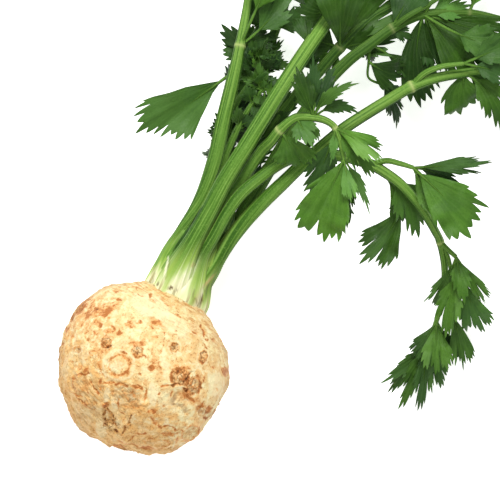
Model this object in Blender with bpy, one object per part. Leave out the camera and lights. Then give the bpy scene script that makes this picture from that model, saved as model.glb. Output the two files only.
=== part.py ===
"""A celeriac as pulled: a knobbly round root with its leafy stalks on, laid on its side.

The root's axis lies along +Y, root end to crown, and +Z is up. The origin is the spot the
root rests on. Lengths are metres; those written in millimetres are multiplied by MM.
"""
import math
import random
from collections import namedtuple

import bmesh
import bpy
import numpy as np
from mathutils import Vector
from mathutils.geometry import delaunay_2d_cdt

MM = 0.001

# Driving dimensions
ROOT_RADIUS = 55.6 * MM            # mean radius of the swollen root
ROOT_CENTRE_HEIGHT = 53.4 * MM     # less than the radius, so it rests on a small flat
ROOT_GRID = 13                     # squares along each edge of the root's six-sided net
CROWN_HEIGHT = 49.6 * MM           # from the root's centre to the flat crown, along +Y
CROWN_OFFSET = -3.3 * MM           # the crown sits a little to one side of the axis
SEAT_GAP = 0.3 * MM                # between the crown and the foot of each stalk
FOOT_RISE = 4 * MM                 # a stalk leaves the crown straight for this far
FOOT_OUTER = (6.4 * MM, 5.0 * MM)  # half width and half depth of an outer stalk's foot
FOOT_INNER = (3.7 * MM, 3.4 * MM)  # the same for the young stalks inside the ring
OUTER_RING = 12                    # a seat further out than this, in mm, is an outer one
STALK_SIDES = 7
STALK_STEP = 19 * MM               # longest stretch of stalk between two rings of corners
GROOVE = 0.72                      # depth of a stalk's inner side against its outer side
TURN_SHARE = 0.4                   # share of its length over which a stalk turns its back up
BLADE_THICKNESS = 0.8 * MM
STEM_THICKNESS = 1.9 * MM          # a leaflet's own little stem
STEM_WIDTH = 2.2 * MM
STEM_SHARE = 0.6                   # a little stem is at most this share of its leaflet
WAIST_SHARE = 0.83                 # a blade starts this much narrower than its stem
SPREAD_SHARE = 0.25                # share of the blade over which the stem flattens out
BLADE_FOLD = 0.16                  # rise of a blade's edge for each unit out from its midrib
BLADE_WAVE = 0.05                  # height of the margin's waves against the blade's width
WAVE_LENGTHS = 1.4                 # waves along one margin

# The photograph fixes where stalks and leaflets run; its pixels are turned to real size here.
PHOTO_PIXEL = 0.655 * MM           # the root is 170 pixels and 111 mm across
PHOTO_ROOT_CENTRE = (143.5, 368.0)
PHOTO_LEAN = math.radians(28)      # the root's axis leans this far from the picture's upright

# Lumps and hollows of the root: bearing in the XY plane from +X, rise towards +Z and spread,
# all in degrees, then height in millimetres.
ROOT_LUMPS = [
    (146, 0, 34, 3.8), (54, 0, 18, -2.8), (205, 0, 25, 0.9), (253, 5, 12, 1.8),
    (268, 0, 8, -2.4), (291, 0, 9, -1.5), (318, 5, 12, 1.8), (354, 0, 14, -1.3),
    (18, 0, 8, 1.2), (334, 24, 14, 2.6), (264, 45, 8, -4.2),
    (276, 36, 6, 1.6), (-11, 56, 7, -1.8), (196, 73, 9, 1.2), (20, 60, 9, 1.3),
    (225, 40, 12, 1.4), (120, 40, 12, 1.2), (60, 62, 8, -1.0), (300, 62, 10, 1.4),
    (30, -38, 15, 2.2), (95, -45, 12, -1.6), (160, -42, 14, 2.0), (215, -35, 12, -2.4),
    (250, -50, 12, 2.2), (305, -38, 13, -2.0), (340, -60, 12, 1.6), (275, -18, 10, -2.2),
]

# A leaflet's half outline from base to tip: along the blade from 0 to 1, and out from the
# midrib in half widths. Teeth and notches take turns; the deep notch parts the side lobe.
FAN = [(0.0, 0.07), (0.26, 0.38), (0.49, 0.80), (0.59, 0.74), (0.74, 1.0),
       (0.72, 0.69), (0.87, 0.70), (0.71, 0.35), (0.90, 0.40), (0.91, 0.19)]
LANCE = [(0.0, 0.14), (0.28, 0.66), (0.54, 1.0), (0.62, 0.74), (0.79, 0.74), (0.81, 0.38)]
WEDGE = [(0.0, 0.06), (0.34, 0.40), (0.66, 0.96), (0.74, 0.84), (0.84, 0.94),
         (0.80, 0.66), (0.95, 0.66), (0.84, 0.42), (1.0, 0.38), (0.88, 0.17)]
OUTLINES = {"fan": FAN, "lance": LANCE, "wedge": WEDGE}
MIDRIB = {"fan": (0.32, 0.62, 0.84), "lance": (0.35, 0.70), "wedge": (0.34, 0.66, 0.86)}
CRUMB = 0.012 * MM                 # edges shorter than this are closed up after fusing
TOOTH_JITTER = 0.035               # how far a tooth strays from the outline above

# A leaflet grows from point `at` of its stalk's route. Its tip is a photo x, a photo y and a
# height above the table in mm. Width, stem, bow and lift are in mm, roll in degrees. Bow
# bends it sideways, lift arches it upwards.
Leaflet = namedtuple("Leaflet", "at tip width stem bow lift roll form",
                     defaults=(2, 0, 2, 0, "fan"))
# A side branch leaves point `at` of the stalk; its radii and route are written like a stalk's.
Branch = namedtuple("Branch", "at radii route leaflets")
# A stalk stands on the crown at a bearing, in degrees from +X towards +Z, and a distance from
# the crown's centre in mm. Its foot and then its route are lists of photo x, photo y and
# height in mm, and radii has its radius in mm at each point of the route.
Stalk = namedtuple("Stalk", "name bearing out foot radii route leaflets branches",
                   defaults=((),))

STALKS = [
    Stalk("leafy_stalk_left", 176, 16, [(161, 267, 55), (169, 251, 56)],
          [4.7, 4.6, 4.6, 4.4, 4.2, 3.3, 2.6, 2.1, 1.6],
          [(182, 234, 57), (200, 203, 58), (214, 163, 60), (224, 118, 60), (233, 80, 58),
           (240, 46, 56), (248, 0, 50), (251, -40, 42), (252, -72, 34)],
          [Leaflet(5, (283, -50, 64), 24, 26, 0, 6),
           Leaflet(5, (292, -14, 46), 22, 16, -3),
           Leaflet(7, (204, -72, 18), 30, 6, 0, 4),
           Leaflet(7, (298, -90, 36), 30, 6, 0, 4),
           Leaflet(8, (248, -132, 0), 34, 4, 0, 4)]),
    Stalk("leafy_stalk_young_upper", 185, 6, [],
          [3.4, 3.0, 2.8, 2.5, 2.2, 1.8, 1.2],
          [(197, 222, 50), (212, 190, 49), (221, 167, 49), (228, 150, 50), (239, 126, 54),
           (252, 104, 58), (262, 90, 60)],
          [Leaflet(4, (236, 106, 66), 10, form="lance"),
           Leaflet(4, (258, 118, 60), 11, form="lance"),
           Leaflet(5, (245, 84, 66), 13),
           Leaflet(5, (272, 103, 60), 11),
           Leaflet(6, (261, 64, 66), 12),
           Leaflet(6, (281, 77, 62), 14)]),
    Stalk("leafy_stalk_young_lower", 265, 6, [],
          [3.4, 3.0, 2.8, 2.4, 2.2, 1.6, 1.2],
          [(203, 203, 41), (214, 172, 40), (223, 150, 40), (228, 130, 41), (235, 106, 43),
           (250, 82, 45), (259, 65, 47)],
          [Leaflet(4, (209, 143, 32), 15, 4, 2, 0),
           Leaflet(5, (141, 121, 40), 42, 24, 7, 2, form="wedge"),
           Leaflet(5, (281, 78, 44), 14, 3),
           Leaflet(6, (244, 52, 46), 13),
           Leaflet(6, (262, 40, 54), 12, form="lance"),
           Leaflet(6, (281, 52, 50), 15)]),
    Stalk("leafy_stalk_middle", 115, 16, [(179, 269, 71)],
          [5.4, 5.3, 5.2, 5.2, 5.1, 4.9, 4.4, 3.4, 2.4, 1.6],
          [(192, 243, 73), (209, 211, 75), (225, 181, 77), (246, 147, 78), (283, 87, 74),
           (309, 47, 61), (333, 11, 43), (346, -14, 35), (362, -50, 29), (370, -74, 25)],
          [Leaflet(7, (316, -56, 40), 32, 5, 0, 4),
           Leaflet(7, (396, -46, 54), 30, 5, 0, 4),
           Leaflet(8, (334, -100, 18), 30, 5, 0, 4),
           Leaflet(8, (412, -92, 14), 30, 5, 0, 4),
           Leaflet(9, (384, -132, 0), 34, 4, 0, 4)]),
    Stalk("leafy_stalk_back", -85, 16, [(188, 268, 36)],
          [4.8, 4.4, 4.0, 3.8, 3.8, 3.6, 3.0, 2.4, 1.6],
          [(203, 244, 33), (232, 188, 30), (266, 137, 30), (299, 92, 34), (317, 73, 37),
           (340, 47, 42), (372, 16, 38), (398, 1, 32), (420, -14, 26)],
          [Leaflet(5, (344, -34, 72), 36, 2, 0, 12, form="wedge"),
           Leaflet(5, (410, 2, 54), 30, 3, 2, 5, form="wedge"),
           Leaflet(5, (300, 34, 30), 26, 4),
           Leaflet(5, (406, 41, 34), 20, 2, 0, 1),
           Leaflet(5, (318, 74, 30), 16, 3, 0, 1),
           Leaflet(7, (396, -55, 24), 30, 5, 0, 3),
           Leaflet(8, (470, -46, 0), 32, 4, 0, 4)]),
    Stalk("leafy_stalk_right_back", -36, 16, [(204, 284, 45), (213, 268, 44)],
          [4.8, 4.6, 4.4, 4.0, 3.9, 3.8, 3.7, 3.2, 3.0, 2.6, 1.5],
          [(224, 246, 43), (252, 198, 42), (282, 148, 43), (311, 103, 45), (329, 80, 46),
           (350, 59, 47), (370, 44, 47), (392, 28, 46), (424, 14, 44), (470, 12, 36),
           (508, 18, 28)],
          [Leaflet(5, (406, 72, 34), 18, 12, -3, 0),
           Leaflet(5, (402, 131, 14), 17, 27, 6, 0),
           Leaflet(8, (421, 105, 28), 22, 5, -3, 0, form="lance"),
           Leaflet(8, (470, 61, 42), 26, 3, 2, 3),
           Leaflet(8, (468, -52, 50), 30, 16, 0, 4),
           Leaflet(8, (514, 50, 56), 26, 28, -4, 6),
           Leaflet(8, (487, 0, 34), 24, 6),
           Leaflet(8, (484, 46, 30), 20, 12, 0, 0),
           Leaflet(9, (540, -34, 26), 28, 5, 0, 3),
           Leaflet(10, (566, 36, 0), 30, 4, 0, 4)]),
    Stalk("leafy_stalk_right", 13, 16, [(204, 282, 58), (213, 266, 59)],
          [5.0, 4.6, 4.2, 4.0, 3.9, 3.8, 3.7, 3.6, 3.6, 2.7, 2.6, 2.2, 1.5],
          [(227, 243, 60), (243, 223, 62), (262, 203, 64), (283, 183, 66), (305, 162, 67),
           (341, 131, 66), (360, 118, 64), (389, 100, 61), (411, 87, 60), (437, 80, 57),
           (465, 75, 52), (500, 68, 42), (530, 62, 34)],
          [Leaflet(10, (502, 135, 46), 30, 6, 3, 3),
           Leaflet(9, (474, 115, 40), 25, 4, -3, 2),
           Leaflet(10, (506, 92, 36), 18, 4),
           Leaflet(11, (530, 14, 36), 26, 5, 0, 3),
           Leaflet(11, (540, 118, 18), 28, 5, 0, 3),
           Leaflet(12, (592, 60, 0), 30, 4, 0, 4)],
          [Branch(8, [2.0, 1.9, 1.7, 1.3], [(424, 72, 63), (440, 66, 64), (463, 64, 63)],
                  [Leaflet(3, (520, 40, 58), 22, 8, 0, 3),
                   Leaflet(3, (520, 76, 54), 20, 8, 0, 3)])]),
    Stalk("leafy_stalk_front", 75, 6, [],
          [3.8, 3.8, 3.8, 3.9, 3.8, 3.6, 3.3, 2.9, 2.6, 2.3, 2.0, 1.8, 1.4],
          [(208, 230, 60), (225, 205, 59), (240, 185, 59), (252, 165, 66), (262, 151, 74),
           (271, 142, 82), (280, 131, 88), (296, 119, 93), (313, 119, 95), (325, 122, 95),
           (334, 129, 94), (341, 150, 91), (343, 160, 89)],
          [Leaflet(6, (289, 170, 84), 24, 4, 2),
           Leaflet(7, (314, 144, 100), 14, 2, roll=40),
           Leaflet(8, (295, 68, 104), 17, 3, 0, 4),
           Leaflet(8, (312, 52, 100), 9, 12, 0, 4, form="lance"),
           Leaflet(8, (336, 62, 98), 15, 6, 0, 4),
           Leaflet(8, (357, 86, 104), 7, 6, 6, 6, form="lance"),
           Leaflet(8, (360, 116, 92), 10, 6, 5, 4, form="lance"),
           Leaflet(8, (326, 140, 84), 12, 3),
           Leaflet(10, (383, 148, 97), 20, 2, 3, 4),
           Leaflet(10, (373, 179, 84), 18, 4, 2),
           Leaflet(10, (331, 168, 98), 7, 3, roll=40, form="lance"),
           Leaflet(10, (304, 196, 72), 18, 12, 3, 0),
           Leaflet(12, (319, 243, 76), 40, 3, 0, 4),
           Leaflet(12, (350, 203, 95), 11, 2, 0, 3),
           Leaflet(12, (367, 210, 82), 8, 4, 3, 3, form="lance"),
           Leaflet(12, (351, 232, 70), 14, 8, 3, 0)]),
    Stalk("leafy_stalk_arching", 63, 16, [],
          [4.4, 4.3, 4.2, 4.1, 4.0, 3.9, 3.8, 3.7, 3.6, 3.4, 3.3, 3.1, 2.9, 2.7, 2.5, 2.2,
           1.9, 1.6, 1.2],
          [(201, 258, 69), (213, 237, 71), (228, 211, 71), (242, 193, 70), (260, 178, 67),
           (283, 162, 61), (310, 154, 57), (345, 157, 57), (371, 165, 60), (385, 173, 60),
           (400, 184, 58), (415, 201, 53), (425, 216, 48), (434, 232, 42), (441, 246, 36),
           (446, 272, 28), (443, 300, 22), (437, 322, 16), (429, 344, 11)],
          [Leaflet(9, (362, 264, 34), 29, 20, 13, 0),
           Leaflet(9, (415, 234, 38), 30, 6, 6, 0),
           Leaflet(17, (405, 354, 18), 20, 2, 3),
           Leaflet(17, (437, 372, 20), 22, 2, 0, 4),
           Leaflet(16, (464, 369, 12), 19, 9, 8),
           Leaflet(18, (382, 379, 4), 18, 3),
           Leaflet(18, (388, 394, 0), 14, 5),
           Leaflet(18, (402, 408, 2), 15, 4),
           Leaflet(18, (420, 407, 6), 16, 3),
           Leaflet(18, (447, 388, 2), 16, 5)],
          [Branch(8, [2.2, 2.0, 1.8, 1.4], [(385, 159, 64), (400, 162, 67), (413, 166, 68)],
                  [Leaflet(3, (490, 167, 80), 13, 3, 5, 4),
                   Leaflet(3, (461, 188, 64), 12, 4, 3, 2, form="lance"),
                   Leaflet(3, (484, 224, 66), 44, 2, 4, 4, form="wedge")]),
           Branch(14, [1.8, 1.6, 1.4], [(447, 252, 37), (452, 259, 37)],
                  [Leaflet(2, (430, 309, 28), 23),
                   Leaflet(2, (466, 303, 42), 10, roll=30, form="lance"),
                   Leaflet(2, (491, 300, 30), 18, 3, 5, 3),
                   Leaflet(2, (493, 334, 18), 26, 20),
                   Leaflet(2, (446, 340, 32), 19, 14)])]),
    Stalk("leafy_stalk_under", -135, 16, [(167, 271, 42), (175, 256, 40)],
          [4.4, 4.0, 3.8, 3.6, 3.4, 3.0, 2.6, 1.6],
          [(186, 238, 37), (204, 198, 31), (224, 148, 26), (246, 100, 24), (263, 60, 24),
           (275, 30, 24), (286, 0, 22), (292, -34, 18)],
          [Leaflet(4, (217, 36, 30), 26, 6),
           Leaflet(4, (266, -26, 46), 22, 22),
           Leaflet(4, (284, 38, 28), 14, 3),
           Leaflet(5, (306, 16, 26), 18, 4),
           Leaflet(5, (246, -6, 24), 22, 4),
           Leaflet(6, (256, -42, 14), 26, 4),
           Leaflet(6, (326, -24, 14), 28, 4),
           Leaflet(7, (300, -92, 0), 32, 3, 0, 3)]),
]

ROOT_SKIN = ("celeriac_skin", "#dcbb85", 0.75)
STALK_GREENS = {"leafy_stalk_left": "#4f7a34", "leafy_stalk_young_upper": "#6f9a45",
                "leafy_stalk_young_lower": "#66913f", "leafy_stalk_middle": "#5c8a3f",
                "leafy_stalk_back": "#45702e", "leafy_stalk_right_back": "#47722f",
                "leafy_stalk_right": "#557f39", "leafy_stalk_front": "#5d8a3c",
                "leafy_stalk_arching": "#54803a", "leafy_stalk_under": "#416b2c"}
LEAF_ROUGHNESS = 0.5


def srgb(hex_colour):
    """A hex colour as linear RGBA."""
    values = [int(hex_colour[i:i + 2], 16) / 255 for i in (1, 3, 5)]
    return [v / 12.92 if v <= 0.04045 else ((v + 0.055) / 1.055) ** 2.4
            for v in values] + [1.0]


def paint(thing, name, hex_colour, roughness):
    """Gives an object its own plain material."""
    material = bpy.data.materials.new(name)
    material.use_nodes = True
    shader = material.node_tree.nodes["Principled BSDF"]
    shader.inputs["Base Color"].default_value = srgb(hex_colour)
    shader.inputs["Roughness"].default_value = roughness
    shader.inputs["Metallic"].default_value = 0.0
    thing.data.materials.clear()
    thing.data.materials.append(material)


def place(photo_x, photo_y, height_mm):
    """A photo position and a height as a point in the part's own frame."""
    right = (photo_x - PHOTO_ROOT_CENTRE[0]) * PHOTO_PIXEL
    up = (PHOTO_ROOT_CENTRE[1] - photo_y) * PHOTO_PIXEL
    turn, rise = math.cos(PHOTO_LEAN), math.sin(PHOTO_LEAN)
    return Vector((right * turn - up * rise, right * rise + up * turn, height_mm * MM))


def smooth_step(t):
    t = min(max(t, 0.0), 1.0)
    return t * t * (3 - 2 * t)


def make_object(name, vertices, faces):
    """A new object with one closed mesh, its faces turned outwards."""
    mesh = bpy.data.meshes.new(name)
    mesh.from_pydata([tuple(v) for v in vertices], [], faces)
    thing = bpy.data.objects.new(name, mesh)
    bpy.context.scene.collection.objects.link(thing)
    work = bmesh.new()
    work.from_mesh(mesh)
    bmesh.ops.recalc_face_normals(work, faces=work.faces)
    work.to_mesh(mesh)
    work.free()
    return thing


def root_reach(direction):
    """Distance from the root's centre to its skin along a unit direction."""
    reach = ROOT_RADIUS
    for bearing, rise, spread, height in ROOT_LUMPS:
        flat = math.cos(math.radians(rise))
        lump = Vector((math.cos(math.radians(bearing)) * flat,
                       math.sin(math.radians(bearing)) * flat,
                       math.sin(math.radians(rise))))
        angle = math.degrees(lump.angle(direction))
        reach += height * MM * math.exp(-(angle / spread) ** 2)
    if direction.y > 0:
        reach = min(reach, CROWN_HEIGHT / direction.y)
    if direction.z < 0:
        reach = min(reach, ROOT_CENTRE_HEIGHT / -direction.z)
    return reach


def build_root():
    """The swollen root: a gridded cube pushed out to a lumpy globe."""
    work = bmesh.new()
    bmesh.ops.create_cube(work, size=2.0)
    bmesh.ops.subdivide_edges(work, edges=work.edges, cuts=ROOT_GRID - 1, use_grid_fill=True)
    for vertex in work.verts:
        # Even steps of angle instead of even steps along the cube
        direction = Vector([math.tan(c * math.pi / 4) for c in vertex.co]).normalized()
        vertex.co = direction * root_reach(direction)
        vertex.co.z += ROOT_CENTRE_HEIGHT
    bmesh.ops.triangulate(work, faces=work.faces)
    mesh = bpy.data.meshes.new("celeriac_root")
    work.to_mesh(mesh)
    work.free()
    thing = bpy.data.objects.new("celeriac_root", mesh)
    bpy.context.scene.collection.objects.link(thing)
    mesh.shade_smooth()
    return thing


def smooth_route(knots, values, step):
    """Points and blended values along a smooth curve through the knots."""
    spans = [max((b - a).length, 1e-6) for a, b in zip(knots, knots[1:])]
    times = np.concatenate([[0.0], np.cumsum(spans)])
    last = len(knots) - 1
    slopes = [(knots[min(i + 1, last)] - knots[max(i - 1, 0)])
              / (times[min(i + 1, last)] - times[max(i - 1, 0)]) for i in range(last + 1)]
    points, blends = [], []
    for i, span in enumerate(spans):
        pieces = max(1, math.ceil(span / step))
        for k in range(pieces):
            t = k / pieces
            points.append((2 * t**3 - 3 * t**2 + 1) * knots[i]
                          + (t**3 - 2 * t**2 + t) * span * slopes[i]
                          + (3 * t**2 - 2 * t**3) * knots[i + 1]
                          + (t**3 - t**2) * span * slopes[i + 1])
            blends.append([a + (b - a) * t for a, b in zip(values[i], values[i + 1])])
    return points + [knots[-1]], blends + [list(values[-1])]


def sweep_stalk(name, points, sizes, outward, facing):
    """A closed stalk through points; sizes are half width and half depth at each."""
    vertices = []
    last = len(points) - 1
    for i, (point, (width, depth)) in enumerate(zip(points, sizes)):
        along = (points[min(i + 1, last)] - points[max(i - 1, 0)]).normalized()
        if i == 0 and outward != facing:
            along = Vector((0, 1, 0))
        towards = outward.lerp(facing, smooth_step(i / max(1, last) / TURN_SHARE))
        side = along.cross(towards).normalized()
        back = side.cross(along).normalized()
        for k in range(STALK_SIDES):
            turn = 2 * math.pi * (k + 0.5) / STALK_SIDES
            across, out = math.cos(turn), math.sin(turn)
            vertices.append(point + side * width * across
                            + back * depth * out * (1.0 if out > 0 else GROOVE))
    ring = STALK_SIDES
    faces = [tuple(range(ring)), tuple(last * ring + k for k in range(ring))]
    for i in range(last):
        for k in range(ring):
            a, b = i * ring + k, i * ring + (k + 1) % ring
            faces += [(a, b, b + ring), (a, b + ring, a + ring)]
    return make_object(name, vertices, faces)


def leaflet_outline(form, chance):
    """Both halves of a toothed outline, base to tip and back, each tooth a little astray."""
    sides = []
    for hand in (1, -1):
        half = [(s, hand * t) for s, t in OUTLINES[form][:2]]
        for s, t in OUTLINES[form][2:]:
            half.append((s + chance.uniform(-1, 1) * TOOTH_JITTER,
                         hand * (t + chance.uniform(-1, 1) * TOOTH_JITTER)))
        sides.append(half)
    return sides[0] + [(1.0, 0.0)] + sides[1][::-1]


def build_leaflet(name, start, leaflet, chance):
    """One leaflet with its little stem: an outline bent along a curved midrib."""
    tip = place(*leaflet.tip)
    chord = tip - start
    sideways = Vector((-chord.y, chord.x, 0)).normalized()
    bend = (start + tip) / 2 + (sideways * leaflet.bow + Vector((0, 0, leaflet.lift))) * 2 * MM
    length = (chord.length + (bend - start).length + (tip - bend).length) / 2
    stem = min(leaflet.stem * MM, STEM_SHARE * length)
    half_width = leaflet.width * MM / 2
    roll = math.radians(leaflet.roll)
    wave_turn = chance.uniform(0, 2 * math.pi)

    def lay(along, across, side):
        """A point of the blade, or of its upper or lower face if side is 1 or -1."""
        t = along / length
        point = (1 - t) ** 2 * start + 2 * t * (1 - t) * bend + t * t * tip
        heading = ((1 - t) * (bend - start) + t * (tip - bend)).normalized()
        level = heading.cross(Vector((0, 0, 1)))
        level = (level if level.length > 0.05 else sideways).normalized()
        up = level.cross(heading).normalized()
        right, up = (level * math.cos(roll) + up * math.sin(roll),
                     up * math.cos(roll) - level * math.sin(roll))
        blade = smooth_step((along - stem) / (SPREAD_SHARE * (length - stem)))
        turn = wave_turn + 2 * math.pi * WAVE_LENGTHS * along / length
        wave = math.sin(turn) * BLADE_WAVE * abs(across) * 2
        rise = blade * (BLADE_FOLD * abs(across) + wave)
        thick = STEM_THICKNESS + (BLADE_THICKNESS - STEM_THICKNESS) * blade
        middle = point + right * across + up * rise
        middle.z = max(middle.z, thick / 2)
        corner = middle + up * side * thick / 2
        corner.z = max(corner.z, 0.0)
        return corner

    flat = [(0.0, STEM_WIDTH / 2)]
    for s, t in leaflet_outline(leaflet.form, chance):
        out = max(abs(t) * half_width, WAIST_SHARE * STEM_WIDTH / 2)
        flat.append((stem + s * (length - stem), math.copysign(out, t) if t else 0.0))
    flat += [(0.0, -STEM_WIDTH / 2)]
    rim = len(flat)
    rib = [(stem + s * (length - stem), 0.0) for s in MIDRIB[leaflet.form]]
    tip_corner = rim // 2
    ribs = [(rim + i, rim + i + 1) for i in range(len(rib) - 1)] + [(rim + len(rib) - 1,
                                                                   tip_corner)]
    edges = [(i, (i + 1) % rim) for i in range(rim)]
    corners, _, triangles, _, _, _ = delaunay_2d_cdt(
        [Vector(p) / MM for p in flat + rib], edges + ribs, [list(range(rim))], 1, 1e-4)
    corners = [(c.x * MM, c.y * MM) for c in corners]
    count = len(corners)
    vertices = [lay(x, y, 1) for x, y in corners] + [lay(x, y, -1) for x, y in corners]
    faces = [tuple(t) for t in triangles]
    border = {}
    for a, b, c in faces:
        for edge in ((a, b), (b, c), (c, a)):
            border[edge] = True
    faces += [tuple(i + count for i in reversed(t)) for t in triangles]
    for a, b in border:
        if (b, a) not in border:
            faces += [(a, a + count, b + count), (a, b + count, b)]
    return make_object(name, vertices, faces)


def drop_scraps(work):
    """Keeps only the largest connected body of a bmesh."""
    unseen = set(work.verts)
    bodies = []
    while unseen:
        body, edge = set(), [unseen.pop()]
        while edge:
            vertex = edge.pop()
            body.add(vertex)
            for link in vertex.link_edges:
                other = link.other_vert(vertex)
                if other in unseen:
                    unseen.discard(other)
                    edge.append(other)
        bodies.append(body)
    bodies.sort(key=len)
    for body in bodies[:-1]:
        bmesh.ops.delete(work, geom=list(body), context="VERTS")


def join_pieces(name, body, extras):
    """Fuses the extra pieces into the body by one Boolean union, applied."""
    shelf = bpy.data.collections.new(name + "_pieces")
    bpy.context.scene.collection.children.link(shelf)
    for extra in extras:
        bpy.context.scene.collection.objects.unlink(extra)
        shelf.objects.link(extra)
    union = body.modifiers.new("join", "BOOLEAN")
    union.operation = "UNION"
    union.operand_type = "COLLECTION"
    union.collection = shelf
    union.solver = "EXACT"
    bpy.context.view_layer.update()
    fused = bpy.data.meshes.new_from_object(
        body.evaluated_get(bpy.context.evaluated_depsgraph_get()))
    body.modifiers.clear()
    body.data = fused
    for extra in extras:
        bpy.data.objects.remove(extra)
    bpy.data.collections.remove(shelf)
    work = bmesh.new()
    work.from_mesh(fused)
    bmesh.ops.triangulate(work, faces=work.faces)
    bmesh.ops.dissolve_degenerate(work, edges=work.edges, dist=CRUMB)
    drop_scraps(work)
    bmesh.ops.triangulate(work, faces=work.faces)
    work.to_mesh(fused)
    work.free()
    fused.name = name
    body.name = name
    return body


def build_stalk(stalk):
    """A leafy stalk: its tube, its side branches and its leaflets, fused into one body."""
    bearing = math.radians(stalk.bearing)
    outward = Vector((math.cos(bearing), 0, math.sin(bearing)))
    facing = Vector((0, 0, 1 if outward.z > -0.1 else -1))
    seat = (Vector((CROWN_OFFSET, CROWN_HEIGHT + SEAT_GAP, ROOT_CENTRE_HEIGHT))
            + outward * stalk.out * MM)
    foot = FOOT_OUTER if stalk.out > OUTER_RING else FOOT_INNER
    route = [place(*p) for p in stalk.route]
    knots = [seat, seat + Vector((0, FOOT_RISE, 0))] + [place(*p) for p in stalk.foot] + route
    radii = [r * MM for r in stalk.radii]
    sizes = [foot, foot]
    for number in range(len(stalk.foot)):
        share = (number + 1) / (len(stalk.foot) + 1)
        sizes.append([f + (radii[0] - f) * share for f in foot])
    sizes += [(r, r) for r in radii]
    points, widths = smooth_route(knots, sizes, STALK_STEP)
    body = sweep_stalk(stalk.name, points, widths, outward, facing)
    extras = []

    def add_leaflets(leaflets, knots, label):
        for number, leaflet in enumerate(leaflets):
            chance = random.Random(f"{stalk.name} {label} {number}")
            extras.append(build_leaflet(f"{stalk.name}_{label}_{number}",
                                        knots[leaflet.at], leaflet, chance))

    add_leaflets(stalk.leaflets, route, "leaflet")
    for number, branch in enumerate(stalk.branches):
        knots = [route[branch.at]] + [place(*p) for p in branch.route]
        centres, thin = smooth_route(knots, [(r * MM, r * MM) for r in branch.radii],
                                     STALK_STEP)
        extras.append(sweep_stalk(f"{stalk.name}_branch_{number}", centres, thin,
                                  facing, facing))
        add_leaflets(branch.leaflets, knots, f"branch_{number}")
    return join_pieces(stalk.name, body, extras)


def main():
    for thing in list(bpy.data.objects):
        bpy.data.objects.remove(thing)
    paint(build_root(), *ROOT_SKIN)
    for stalk in STALKS:
        paint(build_stalk(stalk), stalk.name + "_green", STALK_GREENS[stalk.name],
              LEAF_ROUGHNESS)


main()
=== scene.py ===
"""The looks of a celeriac as pulled: skin, scars and roots of the swollen root, ribbed stalks
and toothed leaflets, on a pale floor under a camera that looks straight down on it.

Lengths are metres; those written in millimetres are multiplied by MM.
"""

import math
import random
from collections import namedtuple

import bmesh
import bpy
import numpy as np
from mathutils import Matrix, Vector, noise
from mathutils.geometry import delaunay_2d_cdt


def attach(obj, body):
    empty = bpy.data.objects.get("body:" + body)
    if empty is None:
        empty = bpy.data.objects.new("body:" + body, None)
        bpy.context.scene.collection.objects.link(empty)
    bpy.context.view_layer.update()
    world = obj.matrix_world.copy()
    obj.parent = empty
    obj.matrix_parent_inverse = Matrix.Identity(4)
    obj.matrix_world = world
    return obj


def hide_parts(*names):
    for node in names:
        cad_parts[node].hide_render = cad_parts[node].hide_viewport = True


MM = 0.001

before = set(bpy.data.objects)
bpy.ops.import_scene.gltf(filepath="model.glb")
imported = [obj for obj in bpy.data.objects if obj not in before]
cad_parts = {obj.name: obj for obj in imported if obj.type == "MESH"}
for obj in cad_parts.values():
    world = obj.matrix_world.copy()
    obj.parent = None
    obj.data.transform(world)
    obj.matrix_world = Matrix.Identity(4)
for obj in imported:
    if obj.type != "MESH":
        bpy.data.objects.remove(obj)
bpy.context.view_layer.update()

# The root and the seats of its stalks, as in the solids
ROOT_RADIUS = 55.6 * MM
ROOT_CENTRE_HEIGHT = 53.4 * MM
ROOT_SQUARES = 128                 # squares along each edge of the root's six-sided net
CROWN_HEIGHT = 49.6 * MM
CROWN_OFFSET = -3.3 * MM
NECK_RISE = 5.0 * MM               # the skin climbs this far up round the stalks' feet
NECK_REACH = 25.5 * MM             # it starts to climb this far from the crown's centre
NECK_WIDTH = 7 * MM                # and has climbed it after this much
COARSE = 13 * MM                   # sizes of the skin's unevenness
MIDDLE = 4.5 * MM
FINE = 1.6 * MM
SEAT_GAP = 0.3 * MM
FOOT_RISE = 4 * MM
FOOT_OUTER = (6.4 * MM, 5.0 * MM)
FOOT_INNER = (3.7 * MM, 3.4 * MM)
FOOT_FLARE = (1.0, 0.35)           # shares by which a foot is wider and thicker at the crown
FLARE_LENGTH = 44 * MM             # the foot clasps its neighbours up to here
CLASP_RADIUS = 15 * MM             # a foot curves round the crown's centre at this radius
OUTER_RING = 12                    # mm from the crown's centre; feet beyond it are large
RIB_SPACING = 2.1 * MM             # between two ribs round a stalk
BRANCH_RIBS = 6
STEM_RIBS = 3
HEART_RIBS = 26
RIB_DEPTH = 0.045                  # of a rib's valley, as a share of the stalk's radius
SIDES_PER_RIB = 4
STALK_STEP = 1.7 * MM              # between two rings of a stalk
GROOVE = 0.72                      # height of the inner side of a stalk, as a share of the outer
TURN_SHARE = 0.4                   # of a stalk, over which its back turns from outward to up or down
JOINT_SWELL = 0.10                 # a stalk thickens by this share at a leaf joint
JOINT_LENGTH = 2.2 * MM
SHARP_ANGLE = math.radians(62)     # edges that turn more than this look sharp
PAST_FOOT = 0.12                   # metres up a stalk, whose colours its branches and stems take
EDGE_FROM = 0.012                  # metres up a stalk where its dark edge lines start
EDGE_RISE = 0.03                   # metres over which they set in
EDGE_REACH = 0.14                  # metres up over which they fade
EDGE_WIDTH = 0.03                  # of the stalk's half width
EDGE_STRENGTH = 0.4

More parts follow.
